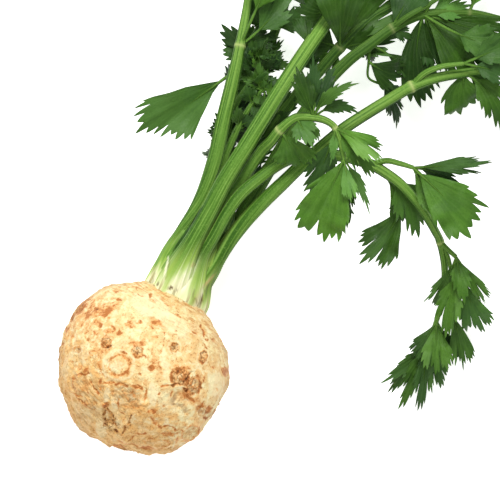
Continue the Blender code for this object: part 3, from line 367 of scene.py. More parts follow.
STALKS = [
    Stalk("leafy_stalk_left", 176, 16, [(164, 266, 55), (172, 250, 56)],
          [4.9, 4.9, 4.9, 4.7, 4.4, 3.4, 2.6, 2.1, 1.6],
          [(182, 234, 57), (200, 203, 58), (214, 163, 60), (224, 118, 60), (233, 80, 58),
           (240, 46, 56), (248, 0, 50), (251, -40, 42), (252, -72, 34)],
          [Leaflet(5, (283, -50, 64), 24, 26, 0, 6),
           Leaflet(5, (292, -14, 46), 22, 16, -3),
           Leaflet(7, (204, -72, 18), 30, 6, 0, 4),
           Leaflet(7, (298, -90, 36), 30, 6, 0, 4),
           Leaflet(8, (248, -132, 0), 34, 4, 0, 4),
           Leaflet(5, (276, 34, 38), 20, 3, 0, 0, form="wedge", tone=0.05)],
          tone=0.33, joints=(5, 7)),
    Stalk("leafy_stalk_young_upper", 185, 6, [],
          [3.4, 3.0, 2.8, 2.5, 2.2, 1.8, 1.2],
          [(197, 222, 50), (212, 190, 49), (221, 167, 49), (228, 150, 50), (239, 126, 54),
           (252, 104, 58), (262, 90, 60)],
          [Leaflet(4, (236, 106, 66), 10, form="lance"),
           Leaflet(4, (258, 118, 60), 11, form="lance"),
           Leaflet(5, (245, 84, 66), 13),
           Leaflet(5, (272, 103, 60), 11),
           Leaflet(6, (259, 62, 66), 12),
           Leaflet(6, (279, 78, 62), 14)], tone=0.14,
          tufts=[Tuft(6, 13, 12, 3, 0.18, 60, 150), Tuft(5, 9, 10, -3, 0.14, 20, 120),
                 Tuft(4, 8, 11, -7, 0.04)]),
    Stalk("leafy_stalk_young_lower", 265, 6, [],
          [3.4, 3.0, 2.8, 2.4, 2.2, 1.6, 1.2],
          [(203, 203, 41), (214, 172, 40), (223, 150, 40), (228, 130, 41), (235, 106, 43),
           (250, 82, 45), (259, 65, 47)],
          [Leaflet(4, (209, 143, 32), 15, 4, 2, 0),
           Leaflet(5, (279, 79, 44), 14, 3),
           Leaflet(6, (244, 52, 46), 13),
           Leaflet(6, (261, 41, 54), 12, form="lance"),
           Leaflet(6, (278, 53, 50), 15),
           Leaflet(4, (243, 58, 28), 22, 3, 0, 0, form="wedge", tone=0.0),
           Leaflet(3, (262, 92, 26), 24, 3, 0, 0, form="wedge", tone=0.0),
           Leaflet(2, (238, 118, 26), 20, 3, 0, 0, form="wedge", tone=0.0),
           Leaflet(6, (294, 63, 40), 9, 3, 0, 0, form="lance", tone=0.1)],
          [Branch(5, [1.5, 1.3, 1.15], [(238, 78, 44), (227, 76, 43)],
                  [Leaflet(2, (142.5, 138.0, 40), 0, 6, 0, 2, form="hand", tone=0.36)])], tone=0.15,
          tufts=[Tuft(6, 15, 17, 4, 0.06, 75, 75), Tuft(6, 5, 10, 8, 0.36, 85, 60),
                 Tuft(5, 9, 14, -5, 0.12), Tuft(3, 8, 14, -8, 0.0), Tuft(2, 7, 16, -9, 0.0)]),
    Stalk("leafy_stalk_middle", 115, 16, [(179, 269, 71)],
          [6.2, 5.8, 5.4, 5.2, 5.1, 4.9, 4.4, 3.4, 2.4, 1.6],
          [(193.2, 243, 73), (209.8, 211, 75), (225, 181, 77), (246, 147, 78), (283, 87, 74),
           (309, 47, 61), (333, 11, 43), (346, -14, 35), (362, -50, 29), (370, -74, 25)],
          [Leaflet(7, (316, -56, 40), 32, 5, 0, 4),
           Leaflet(6, (295, 8, 50), 26, 2, 2, 0, form="wedge", tone=0.12),
           Leaflet(5, (300, 16, 54), 14, 2, 0, 0, form="wedge", tone=0.05),
           Leaflet(7, (396, -46, 54), 30, 5, 0, 4),
           Leaflet(8, (334, -100, 18), 30, 5, 0, 4),
           Leaflet(8, (412, -92, 14), 30, 5, 0, 4),
           Leaflet(9, (384, -132, 0), 34, 4, 0, 4)], joints=(7, 8)),
    Stalk("leafy_stalk_back", -85, 16, [(188, 268, 36)],
          [4.8, 4.4, 4.0, 3.8, 3.8, 3.6, 3.0, 2.4, 1.6],
          [(203, 244, 33), (232, 188, 30), (266, 137, 30), (299, 92, 34), (317, 73, 37),
           (340, 47, 42), (372, 16, 38), (398, 1, 32), (420, -14, 26)],
          [Leaflet(5, (340, -34, 72), 34, 2, 0, 12, form="wedge", tone=0.2),
           Leaflet(5, (404, -4, 34), 28, 3, 2, 2, form="wedge", tone=0.2),
           Leaflet(5, (300, 34, 30), 26, 4),
           Leaflet(5, (408, 34, 34), 22, 2, 0, 1),
           Leaflet(5, (318, 74, 30), 16, 3, 0, 1),
           Leaflet(7, (396, -55, 24), 30, 5, 0, 3),
           Leaflet(8, (470, -46, 0), 32, 4, 0, 4),
           Leaflet(1, (272, 132, 34), 24, 4, 4, 0, form="wedge", tone=0.0),
           Leaflet(1, (256, 156, 34), 20, 4, -3, 0, form="wedge", tone=0.0),
           Leaflet(2, (292, 116, 36), 24, 4, 3, 0, tone=0.05),
           Leaflet(2, (287, 84, 34), 24, 8, 0, 0, form="wedge", tone=0.0),
           Leaflet(4, (305, 50, 30), 20, 3, 0, 0, form="wedge", tone=0.05)], tone=0.1,
          joints=(5, 7)),
    Stalk("leafy_stalk_right_back", -36, 14, [(201.5, 284, 45), (212, 268, 44)],
          [4.8, 4.6, 4.4, 4.0, 3.9, 3.8, 3.7, 3.2, 3.0, 2.6, 1.5],
          [(224, 246, 43), (252, 198, 42), (282, 148, 43), (311, 103, 45), (329, 80, 46),
           (350, 59, 47), (370, 44, 47), (392, 28, 46), (424, 14, 44), (470, 12, 36),
           (508, 18, 28)],
          [Leaflet(6, (414, 75, 30), 14, 14, 2, 0, form="wedge", tone=0.05),
           Leaflet(6, (374, 64, 30), 9, 2, 0, 0, tone=0.0),
           Leaflet(8, (430, 104, 28), 27, 2, -6, 0, form="broad", tone=0.0),
           Leaflet(8, (471, 80, 40), 26, 3, 2, 3, form="wedge", tone=0.2),
           Leaflet(8, (468, -52, 50), 30, 16, 0, 4),
           Leaflet(8, (514, 50, 56), 26, 28, -4, 6, tone=0.32),
           Leaflet(8, (476, 1, 34), 20, 6),
           Leaflet(8, (484, 46, 30), 20, 12, 0, 0),
           Leaflet(8, (447, 66, 30), 30, 3, 0, 0, form="wedge", tone=0.0),
           Leaflet(8, (490, 66, 28), 32, 3, 3, 0, form="wedge", tone=0.05),
           Leaflet(8, (528, 43, 30), 26, 6, 0, 0, form="wedge", tone=0.15),
           Leaflet(7, (420, -24, 40), 30, 3, 0, 2, form="wedge", tone=0.1),
           Leaflet(9, (502, -66, 26), 28, 5, 0, 3),
           Leaflet(10, (566, 36, 0), 30, 4, 0, 4),
           Leaflet(7, (415, 39, 40), 12, 2, 0, 0, tone=0.1)],
          [Branch(6, [1.2, 0.9, 0.8, 0.9], [(369, 61, 42), (369, 77, 38), (383, 84, 34)],
                  [Leaflet(1, (406, 76, 34), 26, 2, -2, 0, form="wedge", tone=0.08),
                   Leaflet(3, (402, 131, 14), 14, 2, 2, 0, tone=0.0),
                   Leaflet(3, (400, 95, 33), 12, 1, 0, 0, form="wedge", tone=0.0)]),
           Branch(7, [1.9, 1.8, 1.6, 1.4], [(408, 16, 51), (424, 7, 50), (440, -3, 48)],
                  [Leaflet(3, (474, -30, 44), 24, 3, 0, 3, form="wedge", tone=0.4)])],
          tone=0.85, joints=(7, 9)),
    Stalk("leafy_stalk_right", 13, 16, [(203, 282, 58), (212.5, 266, 59)],
          [5.4, 5.0, 4.6, 4.4, 4.2, 4.0, 3.9, 3.8, 3.8, 3.3, 3.1, 2.6, 1.8],
          [(227, 243, 60), (243, 223, 62), (262, 203, 64), (283, 183, 66), (305, 162, 67),
           (341, 131, 66), (360, 118, 64), (389, 100, 61), (411, 87, 60), (437, 78, 57),
           (465, 73, 52), (500, 68, 42), (530, 62, 34)],
          [Leaflet(10, (506, 136, 46), 22, 6, 6, 3, tone=0.3),
           Leaflet(10, (472, 110, 40), 34, 2, -3, 2, form="broad", tone=0.3),
           Leaflet(10, (506, 92, 36), 18, 4),
           Leaflet(11, (530, 14, 36), 26, 5, 0, 3),
           Leaflet(11, (540, 118, 18), 28, 5, 0, 3),
           Leaflet(12, (592, 60, 0), 30, 4, 0, 4)],
          [Branch(8, [2.2, 2.1, 1.9, 1.4], [(424, 74, 63), (441, 67, 64), (463, 64, 63)],
                  [Leaflet(3, (520, 40, 58), 22, 8, 0, 3),
                   Leaflet(3, (520, 76, 54), 20, 8, 0, 3)])], tone=0.34, joints=(8, 11)),
    Stalk("leafy_stalk_front", 75, 6, [],
          [3.8, 3.8, 3.8, 3.9, 3.8, 3.6, 3.3, 2.9, 2.6, 2.3, 2.0, 1.8, 1.4],
          [(208, 230, 60), (225, 205, 59), (240, 185, 59), (252, 165, 66), (262, 151, 74),
           (271, 142, 82), (280, 131, 88), (296, 119, 93), (313, 119, 95), (325, 122, 95),
           (334, 129, 94), (341, 150, 91), (343, 160, 89)],
          [Leaflet(6, (294, 170, 84), 32, 4, 2, form="wedge", tone=0.45),
           Leaflet(7, (313, 149, 100), 18, 2, roll=12, tone=0.45),
           Leaflet(8, (294, 68, 104), 15, 3, 0, 4, form="lance", tone=0.1),
           Leaflet(8, (312, 56, 100), 11, 8, 0, 4, form="lance", tone=0.05),
           Leaflet(8, (333, 66, 98), 13, 5, 0, 4, form="lance", tone=0.05),
           Leaflet(8, (357, 87, 104), 9, 6, 5, 6, form="lance", tone=0.3),
           Leaflet(8, (360, 117, 92), 10, 6, 6.5, 4, form="lance", tone=0.25),
           Leaflet(8, (306, 150, 84), 14, 3, tone=0.3),
           Leaflet(10, (380, 159, 97), 18, 2, 1, 4, form="wedge", tone=0.75),
           Leaflet(10, (373, 179, 84), 18, 4, 2, tone=0.45),
           Leaflet(10, (331, 168, 98), 7, 3, roll=40, form="lance", tone=0.7),
           Leaflet(10, (303, 195, 72), 21, 11, 3, 0, tone=0.2),
           Leaflet(12, (312.5, 233, 76), 0, 2, 0, 4, form="drooped", tone=0.5),
           Leaflet(12, (350, 203, 95), 11, 2, 0, 3, form="wedge", tone=0.75),
           Leaflet(12, (368, 211, 82), 8, 4, 1.5, 3, form="lance", tone=0.3),
           Leaflet(12, (345, 229, 70), 14, 8, 1, 0, tone=0.15),
           Leaflet(12, (326, 232, 66), 30, 3, 0, 0, form="wedge", tone=0.2)], tone=0.5,
          joints=(6, 10)),
    Stalk("leafy_stalk_arching", 63, 16, [],
          [4.4, 4.3, 4.2, 4.1, 4.0, 3.9, 3.8, 3.7, 3.6, 3.4, 3.3, 3.1, 2.9, 2.7, 2.5, 2.2,
           1.9, 1.6, 1.2],
          [(201, 258, 69), (213, 237, 71), (228, 211, 71), (242, 193, 70), (260, 178, 67),
           (283, 162, 61), (310, 154, 57), (345, 157, 57), (371, 165, 60), (385, 173, 60),
           (400, 184, 58), (415, 200, 53), (426, 215, 48), (435, 230, 42), (441, 242, 36),
           (446, 270, 28), (444, 300, 22), (438, 322, 16), (430, 344, 11)],
          [Leaflet(9, (406, 226, 42), 20, 3, 3, 0, form="wedge", tone=0.25),
           Leaflet(9, (414, 237, 38), 28, 9, 6, 0, tone=0.3),
           Leaflet(17, (411, 357, 18), 14, 2, 1.5, form="wedge", tone=0.15),
           Leaflet(17, (438, 376, 20), 22, 2, 0, 4, form="wedge", tone=0.4),
           Leaflet(16, (465, 375, 12), 18, 11, 4, form="wedge", tone=0.3),
           Leaflet(18, (383, 382, 4), 11, 3, 3, form="lance", tone=0.1),
           Leaflet(18, (387, 397, 0), 14, 5),
           Leaflet(17, (452, 366, 6), 20, 6, 2, 0, form="wedge", tone=0.0),
           Leaflet(18, (401, 414, 2), 15, 4),
           Leaflet(18, (421, 417, 6), 14, 3),
           Leaflet(18, (446, 392, 2), 16, 5)],
          [Branch(8, [2.2, 2.0, 1.8, 1.4], [(386, 161, 64), (400, 164, 67), (413, 168, 68)],
                  [Leaflet(3, (490, 166, 80), 13, 3, 0.5, 4, form="wedge", tone=0.2),
                   Leaflet(3, (462, 191, 64), 12, 4, 3, 2, form="lance", tone=0.0),
                   Leaflet(3, (479, 231, 66), 0, 6, 0, 3, form="broad", tone=0.5),
                   Leaflet(3, (441, 208, 60), 20, 3, -2, 0, form="wedge", tone=0.4)]),
           Branch(14, [1.9, 1.7, 1.4], [(448, 249, 37), (457, 257, 37)],
                  [Leaflet(2, (432, 309, 28), 15, 5, 1, form="wedge", tone=0.2),
                   Leaflet(2, (466, 305, 42), 14, roll=12, form="lance", tone=0.4),
                   Leaflet(2, (489, 304, 30), 11, 3, 0, 3, form="wedge", tone=0.25),
                   Leaflet(2, (484, 337, 18), 24, 20, 0, form="wedge", tone=0.45),
                   Leaflet(2, (446, 340, 32), 19, 14, tone=0.4)]),
           Branch(14, [1.5, 1.4, 1.2], [(449, 257, 33), (453, 276, 30)], []),
           Branch(9, [1.3, 1.2, 1.1], [(394, 189, 50), (402, 206, 44)],
                  [Leaflet(2, (362, 264, 34), 30, 2, 3, 0, form="wedge", tone=0.15)])],
          tone=0.3, joints=(14, 18)),
    Stalk("leafy_stalk_under", -135, 16, [(167, 271, 42), (175, 256, 40)],
          [4.4, 4.0, 3.8, 3.6, 3.4, 3.0, 2.6, 1.6],
          [(186, 238, 37), (204, 198, 31), (224, 148, 26), (246, 100, 24), (263, 60, 24),
           (275, 30, 24), (286, 0, 22), (292, -34, 18)],
          [Leaflet(4, (219, 24, 30), 30, 6),
           Leaflet(4, (266, -26, 46), 22, 22),
           Leaflet(4, (284, 38, 28), 14, 3),
           Leaflet(5, (304, 8, 26), 22, 4),
           Leaflet(5, (246, -6, 24), 22, 4),
           Leaflet(6, (256, -42, 14), 26, 4),
           Leaflet(6, (326, -24, 14), 28, 4),
           Leaflet(7, (300, -92, 0), 32, 3, 0, 3),
           Leaflet(2, (262, 92, 30), 26, 6, 4, 0, form="wedge", tone=0.0),
           Leaflet(1, (246, 142, 30), 22, 6, -3, 0, form="wedge", tone=0.0),
           Leaflet(2, (214, 112, 30), 20, 6, -2, 0, tone=0.05),
           Leaflet(4, (222, 42, 26), 14, 6, 0, 0, form="wedge", tone=0.1)], tone=0.1),
]
TONE_SPREAD = 0.12                 # how far a blade's tone strays from its stalk's


def linear(hex_colour):
    """An sRGB hex colour as linear RGBA."""
    values = [int(hex_colour[i:i + 2], 16) / 255 for i in (1, 3, 5)]
    return [v / 12.92 if v <= 0.04045 else ((v + 0.055) / 1.055) ** 2.4
            for v in values] + [1.0]


# The steps that the finishes are made of: Blender's node, the inputs that a finish fills in
# turn, the output that it uses, and the node's settings. Other inputs stay as they come. The
# scale of a grain is one divided by the size of its features.
Step = namedtuple("Step", "node inputs output settings", defaults=(0, {}))
CARRIED = Step("ShaderNodeAttribute", (), "Fac", {"attribute_type": "GEOMETRY"})
PLACE = Step("ShaderNodeTexCoord", (), "Object")
TURNED = Step("ShaderNodeMapping", ("Vector", "Rotation"))
STRETCHED = Step("ShaderNodeMapping", ("Vector", "Scale"))
WOUND = Step("ShaderNodeCombineXYZ", ("X", "Y", "Z"))
GRAIN = Step("ShaderNodeTexNoise", ("Vector", "Scale", "Detail", "Roughness"), "Fac")
EASED = Step("ShaderNodeMapRange", ("Value", "From Min", "From Max", "To Min", "To Max"), 0,
             {"interpolation_type": "SMOOTHSTEP"})
BLEND = Step("ShaderNodeMix", (0, 6, 7), 2, {"data_type": "RGBA"})
RELIEF = Step("ShaderNodeBump", ("Height", "Distance", "Strength"))
PLUS, MINUS, TIMES, POWER, ZIGZAG, UNSIGNED = (
    Step("ShaderNodeMath", (0, 1), 0, {"operation": work})
    for work in ("ADD", "SUBTRACT", "MULTIPLY", "POWER", "PINGPONG", "ABSOLUTE"))


class Finish:
    """A material, built up in steps."""

    def __init__(self, name, roughness, ior, specular):
        self.material = bpy.data.materials.new(name)
        self.material.use_nodes = True
        self.tree = self.material.node_tree
        self.shader = self.tree.nodes["Principled BSDF"]
        self.shader.inputs["Roughness"].default_value = roughness
        self.shader.inputs["IOR"].default_value = ior
        self.shader.inputs["Specular IOR Level"].default_value = specular
        self.shader.inputs["Metallic"].default_value = 0.0
        self.place = self.add(PLACE)

    def add(self, step, *inputs, **settings):
        """Adds a step's node, fills its inputs with numbers, hex colours or the outputs of other
        nodes, and gives its own output."""
        node = self.tree.nodes.new(step.node)
        for key, value in {**step.settings, **settings}.items():
            setattr(node, key, value)
        for key, value in zip(step.inputs, inputs):
            if isinstance(value, bpy.types.NodeSocket):
                self.tree.links.new(value, node.inputs[key])
            else:
                node.inputs[key].default_value = linear(value) if isinstance(value, str) else value
        return node.outputs[step.output]

    def coat(self, ground, coats):
        """Colours laid over a ground one after the other, each by its own amount."""
        for amount, colour in coats:
            ground = self.add(BLEND, amount, ground, colour)
        return ground

    def lay(self, layer, source):
        """Gives the surface its colour, roughness or relief."""
        self.tree.links.new(source, self.shader.inputs[layer])


def root_skin():
    """Celeriac skin, grown and washed: dry, matt and creamy, freckled with corky brown scars,
    browner and rougher towards the root end. It gives a soft, uneven, unpolished surface."""
    f = Finish("washed_celeriac_skin", 0.62, 1.42, 0.30)
    carried = {name: f.add(CARRIED, attribute_name=name) for name in ROOT_VALUES}
    broad = f.add(GRAIN, f.place, 1 / (15 * MM), 2.0, 0.55)
    middle = f.add(GRAIN, f.place, 1 / (5.0 * MM), 4.0, 0.62)
    fine = f.add(GRAIN, f.place, 1 / (1.7 * MM), 3.0, 0.6)
    bends = f.add(GRAIN, f.place, 1 / (6.5 * MM), 3.0, 0.6)
    flecks = f.add(GRAIN, f.add(STRETCHED, f.place, (1, 0.8, 1)), 1 / (1.3 * MM), 2.0, 0.5)
    streak = f.add(GRAIN, f.add(STRETCHED, f.place, (0.30, 2.2, 0.30)), 1 / (2.6 * MM), 3.0, 0.6)
    # Towards the root end the skin is combed aslant, as the soil let it slip past.
    slant = f.add(TURNED, f.place, (0, 0, math.radians(20)))
    combing = f.add(GRAIN, f.add(STRETCHED, slant, (0.22, 1.5, 1.0)), 1 / (2.2 * MM), 3.0, 0.6)

    def broken(name, low, high, part):
        """How strongly a mark shows, where the grain breaks its edge up."""
        grainy = f.add(PLUS, f.add(TIMES, f.add(MINUS, fine, 0.5), part),
                       f.add(TIMES, f.add(MINUS, middle, 0.5), part))
        shown = f.add(TIMES, grainy, f.add(EASED, carried[name], 0.0, 0.3))
        return f.add(EASED, f.add(PLUS, carried[name], shown), low, high)

    line = f.add(EASED, f.add(UNSIGNED, f.add(MINUS, bends, 0.5)), 0.004, 0.026, 1.0, 0.0)
    folds = f.add(EASED, f.add(ZIGZAG, f.add(TIMES, bends, 7.0), 0.5), 0.02, 0.20, 1.0, 0.0)
    mottle = f.add(TIMES, f.add(EASED, middle, 0.49, 0.60),
                   f.add(EASED, carried["rooty"], 0.2, 0.9, 0.42, 0.75))
    brown = f.add(PLUS, carried["rooty"], f.add(TIMES, f.add(MINUS, middle, 0.5), 1.4))
    wormy = f.add(TIMES, f.add(EASED, carried["rooty"], 0.1, 0.8, 0.10, 0.55),
                  f.add(EASED, carried["comb"], 0.2, 0.8, 1.0, 0.2))
    freckles = f.add(TIMES, f.add(EASED, flecks, 0.57, 0.64), f.add(EASED, middle, 0.42, 0.56))
    freckles = f.add(TIMES, freckles, f.add(EASED, carried["pale"], 0.0, 0.6, 0.65, 0.25))
    specks = f.add(TIMES, f.add(EASED, flecks, 0.60, 0.64), f.add(EASED, carried["collar"], 0.15, 0.5))
    cream = f.add(BLEND, f.add(EASED, broad, 0.40, 0.60), "#f3e0a6", "#efcd8f")
    f.lay("Base Color", f.coat(cream, [
        (mottle, "#e2ab66"),
        (f.add(EASED, middle, 0.47, 0.38, 0.0, 0.5), "#faf0c4"),
        (f.add(TIMES, f.add(EASED, streak, 0.53, 0.60, 0.0, 0.75), carried["shoulder"]), "#cf8f4c"),
        (f.add(EASED, brown, 0.35, 1.0, 0.0, 0.60), "#ecb66b"),
        (f.add(TIMES, line, wormy), "#ad773c"),
        # Combed skin: tan, with dark and light fibres
        (f.add(TIMES, carried["comb"], 0.35), "#d9ab6b"),
        (f.add(TIMES, f.add(EASED, combing, 0.49, 0.60, 0.0, 0.8), carried["comb"]), "#a8783f"),
        (f.add(TIMES, f.add(EASED, combing, 0.46, 0.38, 0.0, 0.6), carried["comb"]), "#ecd6a4"),
        # Marks and freckles, from the softest to the darkest; the grey is partly painted shade in dents
        # and the pale partly painted light and highlight
        (f.add(TIMES, broken("grey", 0.1, 0.9, 0.8), 0.85), "#b3946a"),
        (f.add(TIMES, broken("pale", 0.0, 1.0, 0.9), 0.8), "#f8ecbe"),
        (freckles, "#b9742f"),
        (f.add(TIMES, broken("stain", 0.05, 0.70, 1.2), 0.80), "#e09a52"),
        (f.add(TIMES, broken("stain", 0.50, 0.95, 2.2), 0.80), "#b0642a"),
        (f.add(TIMES, folds, f.add(EASED, carried["folds"], 0.1, 0.8, 0.0, 0.75)), "#935f2c"),
        (f.add(TIMES, broken("dark", 0.15, 0.75, 1.6), 0.85), "#6a4524"),
        # The collar round the stalks' feet with its specks, and the darker underside: painted shade with
        # a browner skin
        (f.add(EASED, carried["collar"], 0.2, 0.9), "#e3dfaa"),
        (specks, "#7a5a30"),
        (carried["under"], "#94683a"),
    ]))
    height = f.add(PLUS, f.add(TIMES, middle, 0.6), f.add(TIMES, fine, 0.5))
    for pattern, name, share in ((combing, "comb", 0.7), (folds, "folds", 0.25)):
        height = f.add(MINUS, height, f.add(TIMES, pattern, f.add(TIMES, carried[name], share)))
    f.lay("Normal", f.add(RELIEF, height, 1.8 * MM, 1.0))
    return f.material


def stalk_skin():
    """Celery stalk, grown: a firm, faintly waxy skin with stringy ribs, whitish where it
    clasps the crown. It gives long soft highlights broken by fine lines."""
    f = Finish("ribbed_stalk_skin", 0.52, 1.42, 0.16)
    carried = {name: f.add(CARRIED, attribute_name=name) for name in STALK_VALUES}
    # Round a stalk, places are in radii, and so are the sizes of the grains that lie there.
    round_place = f.add(WOUND, carried["round_cos"], carried["round_sin"],
                        f.add(TIMES, carried["reach"], 3.0))
    # The true strings are 0.5 mm apart; they are drawn at 1 mm, the finest that shows.
    strings = f.add(GRAIN, round_place, 1 / 0.22, 2.0, 0.5)
    bands = f.add(GRAIN, round_place, 1 / 0.62, 1.0, 0.5)
    # Its pores are finer than the 1.2 mm they are drawn at, the finest that shows.
    dots = f.add(GRAIN, f.place, 1 / (1.2 * MM), 2.0, 0.6)
    green = f.coat(f.add(BLEND, carried["tone"], "#2a5214", "#568624"), [
        (f.add(EASED, bands, 0.46, 0.60, 0.0, 0.8), "#648f36"),
        (f.add(EASED, bands, 0.46, 0.34, 0.0, 0.7), "#274a13"),
        (f.add(EASED, carried["rib"], 0.0, 0.5, 0.5, 0.0), "#21410f"),
        (f.add(EASED, strings, 0.53, 0.62, 0.0, 0.55), "#88ad50"),
        (f.add(EASED, strings, 0.45, 0.37, 0.0, 0.55), "#2b5017"),
        (f.add(EASED, dots, 0.56, 0.66, 0.0, 0.2), "#8fb45a"),
        (f.add(EASED, dots, 0.44, 0.34, 0.0, 0.2), "#2c4f16"),
    ])
    # Each foot pales towards the crown, further up along some strings than along others.
    uneven = f.add(TIMES, f.add(MINUS, bands, 0.5), 0.055)
    uneven = f.add(PLUS, uneven, f.add(TIMES, f.add(MINUS, strings, 0.5), 0.022))
    uneven = f.add(PLUS, uneven, f.add(TIMES, carried["round_cos"], -0.008))
    height = f.add(PLUS, carried["reach"], uneven)
    torn = f.add(TIMES, f.add(EASED, strings, 0.43, 0.37),
                 f.add(EASED, carried["reach"], 0.001, 0.014, 0.75, 0.0))
    foot = f.coat(f.add(BLEND, f.add(EASED, height, -0.004, 0.009), "#f0eec4", "#a9c95c"), [
        (f.add(EASED, strings, 0.52, 0.62, 0.0, 0.6), "#f2f2c8"),
        (f.add(EASED, strings, 0.46, 0.36, 0.0, 0.4), "#93ac50"),
        (f.add(TIMES, torn, 0.8), "#97794a"),
    ])
    # Painted shade: the flanks and the underside are darker than the face towards the light.
    painted_flank_shade = f.add(TIMES, f.add(EASED, carried["round_sin"], 0.58, -0.05, 0.0, 0.56),
                  f.add(EASED, carried["reach"], 0.012, 0.05, 0.15, 1.0))
    streaky = f.add(EASED, strings, 0.40, 0.52, 0.45, 1.0)
    # Marks on the feet in their colours; the deep ones are painted shade in the crevices between stalks.
    marks = [(f.add(TIMES, carried[name], streaky), colour) for name, colour in FOOT_COLOURS.items()]
    f.lay("Base Color", f.coat(foot, [
        (f.add(EASED, height, 0.002, 0.042), green),
        (f.add(TIMES, f.add(POWER, carried["joint"], 3.0), 0.7), "#b9c47c"),
        (painted_flank_shade, "#2c481a"),
        *marks,
        (carried["edge_line"], "#5c6428"),
    ]))
    f.lay("Normal", f.add(RELIEF, f.add(PLUS, strings, f.add(TIMES, bands, 0.7)), 0.5 * MM, 0.8))
    return f.material


def leaf_skin():
    """Celery leaf, grown: thin and soft with a low gloss, shaded in streaks along veins that
    fan out to the teeth, and paler beneath. The veins themselves hardly show."""
    f = Finish("toothed_leaf_blade", 0.46, 1.42, 0.22)
    carried = {name: f.add(CARRIED, attribute_name=name) for name in LEAF_VALUES}
    fan = f.add(WOUND, f.add(TIMES, carried["fan_turn"], 3.2), carried["fan_reach"], carried["leaf"])
    streaks = f.add(GRAIN, fan, 1 / 0.62, 2.0, 0.6)
    clouds = f.add(GRAIN, f.place, 1 / (9 * MM), 2.0, 0.55)
    patches = f.add(GRAIN, f.place, 1 / (22 * MM), 1.0, 0.55)
    # The true net of veins is 0.5 mm wide; it is drawn at 1.5 mm, the finest that shows.
    net = f.add(GRAIN, f.place, 1 / (1.5 * MM), 2.0, 0.6)
    wander = f.add(TIMES, f.add(MINUS, clouds, 0.5), 0.22)
    gap = f.add(ZIGZAG, f.add(TIMES, f.add(PLUS, carried["fan_turn"], wander), 4.0), 0.5)
    vein = f.add(EASED, f.add(TIMES, gap, carried["fan_spread"]), 0.4, 2.6, 1.0, 0.0)
    vein = f.add(TIMES, vein, f.add(EASED, carried["fan_reach"], 0.05, 0.3))

    def green(dark, bright):
        """A green between a dark one and a bright one by tone, which is partly the blade's own green and
        partly painted shade and light.
        """
        return f.add(BLEND, carried["tone"], dark, bright)

    f.lay("Base Color", f.coat(green("#213e0d", "#649a2b"), [
        (f.add(EASED, streaks, 0.46, 0.68, 0.0, 0.30), green("#2a4816", "#7eb341")),
        (f.add(EASED, streaks, 0.48, 0.30, 0.0, 0.28), green("#12260b", "#3f701b")),
        (f.add(EASED, clouds, 0.5, 0.68, 0.0, 0.5), green("#2c4c20", "#6f9f3c")),
        (f.add(EASED, patches, 0.52, 0.38, 0.0, 0.5), green("#132a0a", "#47761f")),
        (f.add(EASED, net, 0.52, 0.66, 0.0, 0.3), green("#14290b", "#47771d")),
        # Painted light and shade: every lobe leans its own way, so one is painted lighter than the next.
        (f.add(EASED, carried["lobe"], 0.0, 1.0, 0.0, 0.45), green("#3a612a", "#8dba5c")),
        (f.add(EASED, carried["lobe"], 0.0, -1.0, 0.0, 0.4), green("#15290c", "#3f701b")),
        # Painted shade along the slits between the lobes
        (f.add(TIMES, carried["crease"], 0.45), green("#12240a", "#37651a")),
        (f.add(TIMES, vein, 0.045), "#86a55a"),
        (f.add(EASED, carried["cool"], 0.3, 1.0, 0.0, 0.36), green("#203c26", "#5f8f50")),
        (f.add(TIMES, carried["beneath"], 0.5), "#6a8a4a"),
    ]))
    f.lay("Roughness", f.add(EASED, clouds, 0.35, 0.65, 0.40, 0.56))
    f.lay("Normal", f.add(RELIEF, f.add(PLUS, streaks, f.add(TIMES, net, 0.35)), 1.0 * MM, 0.7))
    return f.material


def floor_paper():
    """Studio paper, pressed from pulp: matt and near white, with a faint cloudiness."""
    f = Finish("matt_studio_paper", 0.9, 1.45, 0.1)
    clouds = f.add(GRAIN, f.place, 1 / (60 * MM), 2.0, 0.55)
    f.lay("Base Color", f.add(BLEND, clouds, "#f4f4f4", "#f7f7f7"))
    f.shader.inputs["Emission Color"].default_value = (1, 1, 1, 1)
    f.shader.inputs["Emission Strength"].default_value = FLOOR_GLOW
    return f.material


class Piece:
    """Gathers closed bodies and the numbers at their points, then makes one mesh of them."""

    def __init__(self, name):
        self.name = name
        self.points, self.triangles, self.finishes, self.values = [], [], [], []
        self.count = 0

    def add(self, points, triangles, finish, **values):
        """A body with the number of its finish, and the values at its points."""
        self.points.append(points)
        self.triangles.append(np.asarray(triangles, int) + self.count)
        self.finishes.append(np.full(len(triangles), finish))
        self.values.append((len(points), values))
        self.count += len(points)

    def make(self, materials):
        mesh = bpy.data.meshes.new(self.name)
        triangles = np.concatenate(self.triangles)
        mesh.vertices.add(self.count)
        mesh.vertices.foreach_set("co", np.concatenate(self.points).ravel())
        mesh.loops.add(triangles.size)
        mesh.loops.foreach_set("vertex_index", triangles.ravel())
        mesh.polygons.add(len(triangles))
        mesh.polygons.foreach_set("loop_start", np.arange(0, triangles.size, 3))
        mesh.polygons.foreach_set("material_index", np.concatenate(self.finishes))
        mesh.update(calc_edges=True)
        work = bmesh.new()
        work.from_mesh(mesh)
        bmesh.ops.recalc_face_normals(work, faces=work.faces)
        work.to_mesh(mesh)
        work.free()
        for name in sorted({key for _, values in self.values for key in values}):
            column = np.concatenate([np.broadcast_to(values.get(name, 0.0), count)
                                     for count, values in self.values])
            mesh.attributes.new(name, "FLOAT", "POINT").data.foreach_set("value", column)
        for material in materials:
            mesh.materials.append(material)
        mesh.shade_smooth()
        mesh.set_sharp_from_angle(angle=SHARP_ANGLE)
        thing = bpy.data.objects.new(self.name, mesh)
        bpy.context.scene.collection.objects.link(thing)
        return thing


def smooth_step(t):
    """Runs smoothly from 0 to 1 as t does."""
    t = np.clip(t, 0.0, 1.0)
    return t * t * (3 - 2 * t)


def unit(rows):
    """Rows of vectors scaled to length one."""
    return rows / np.maximum(np.linalg.norm(rows, axis=-1, keepdims=True), 1e-12)


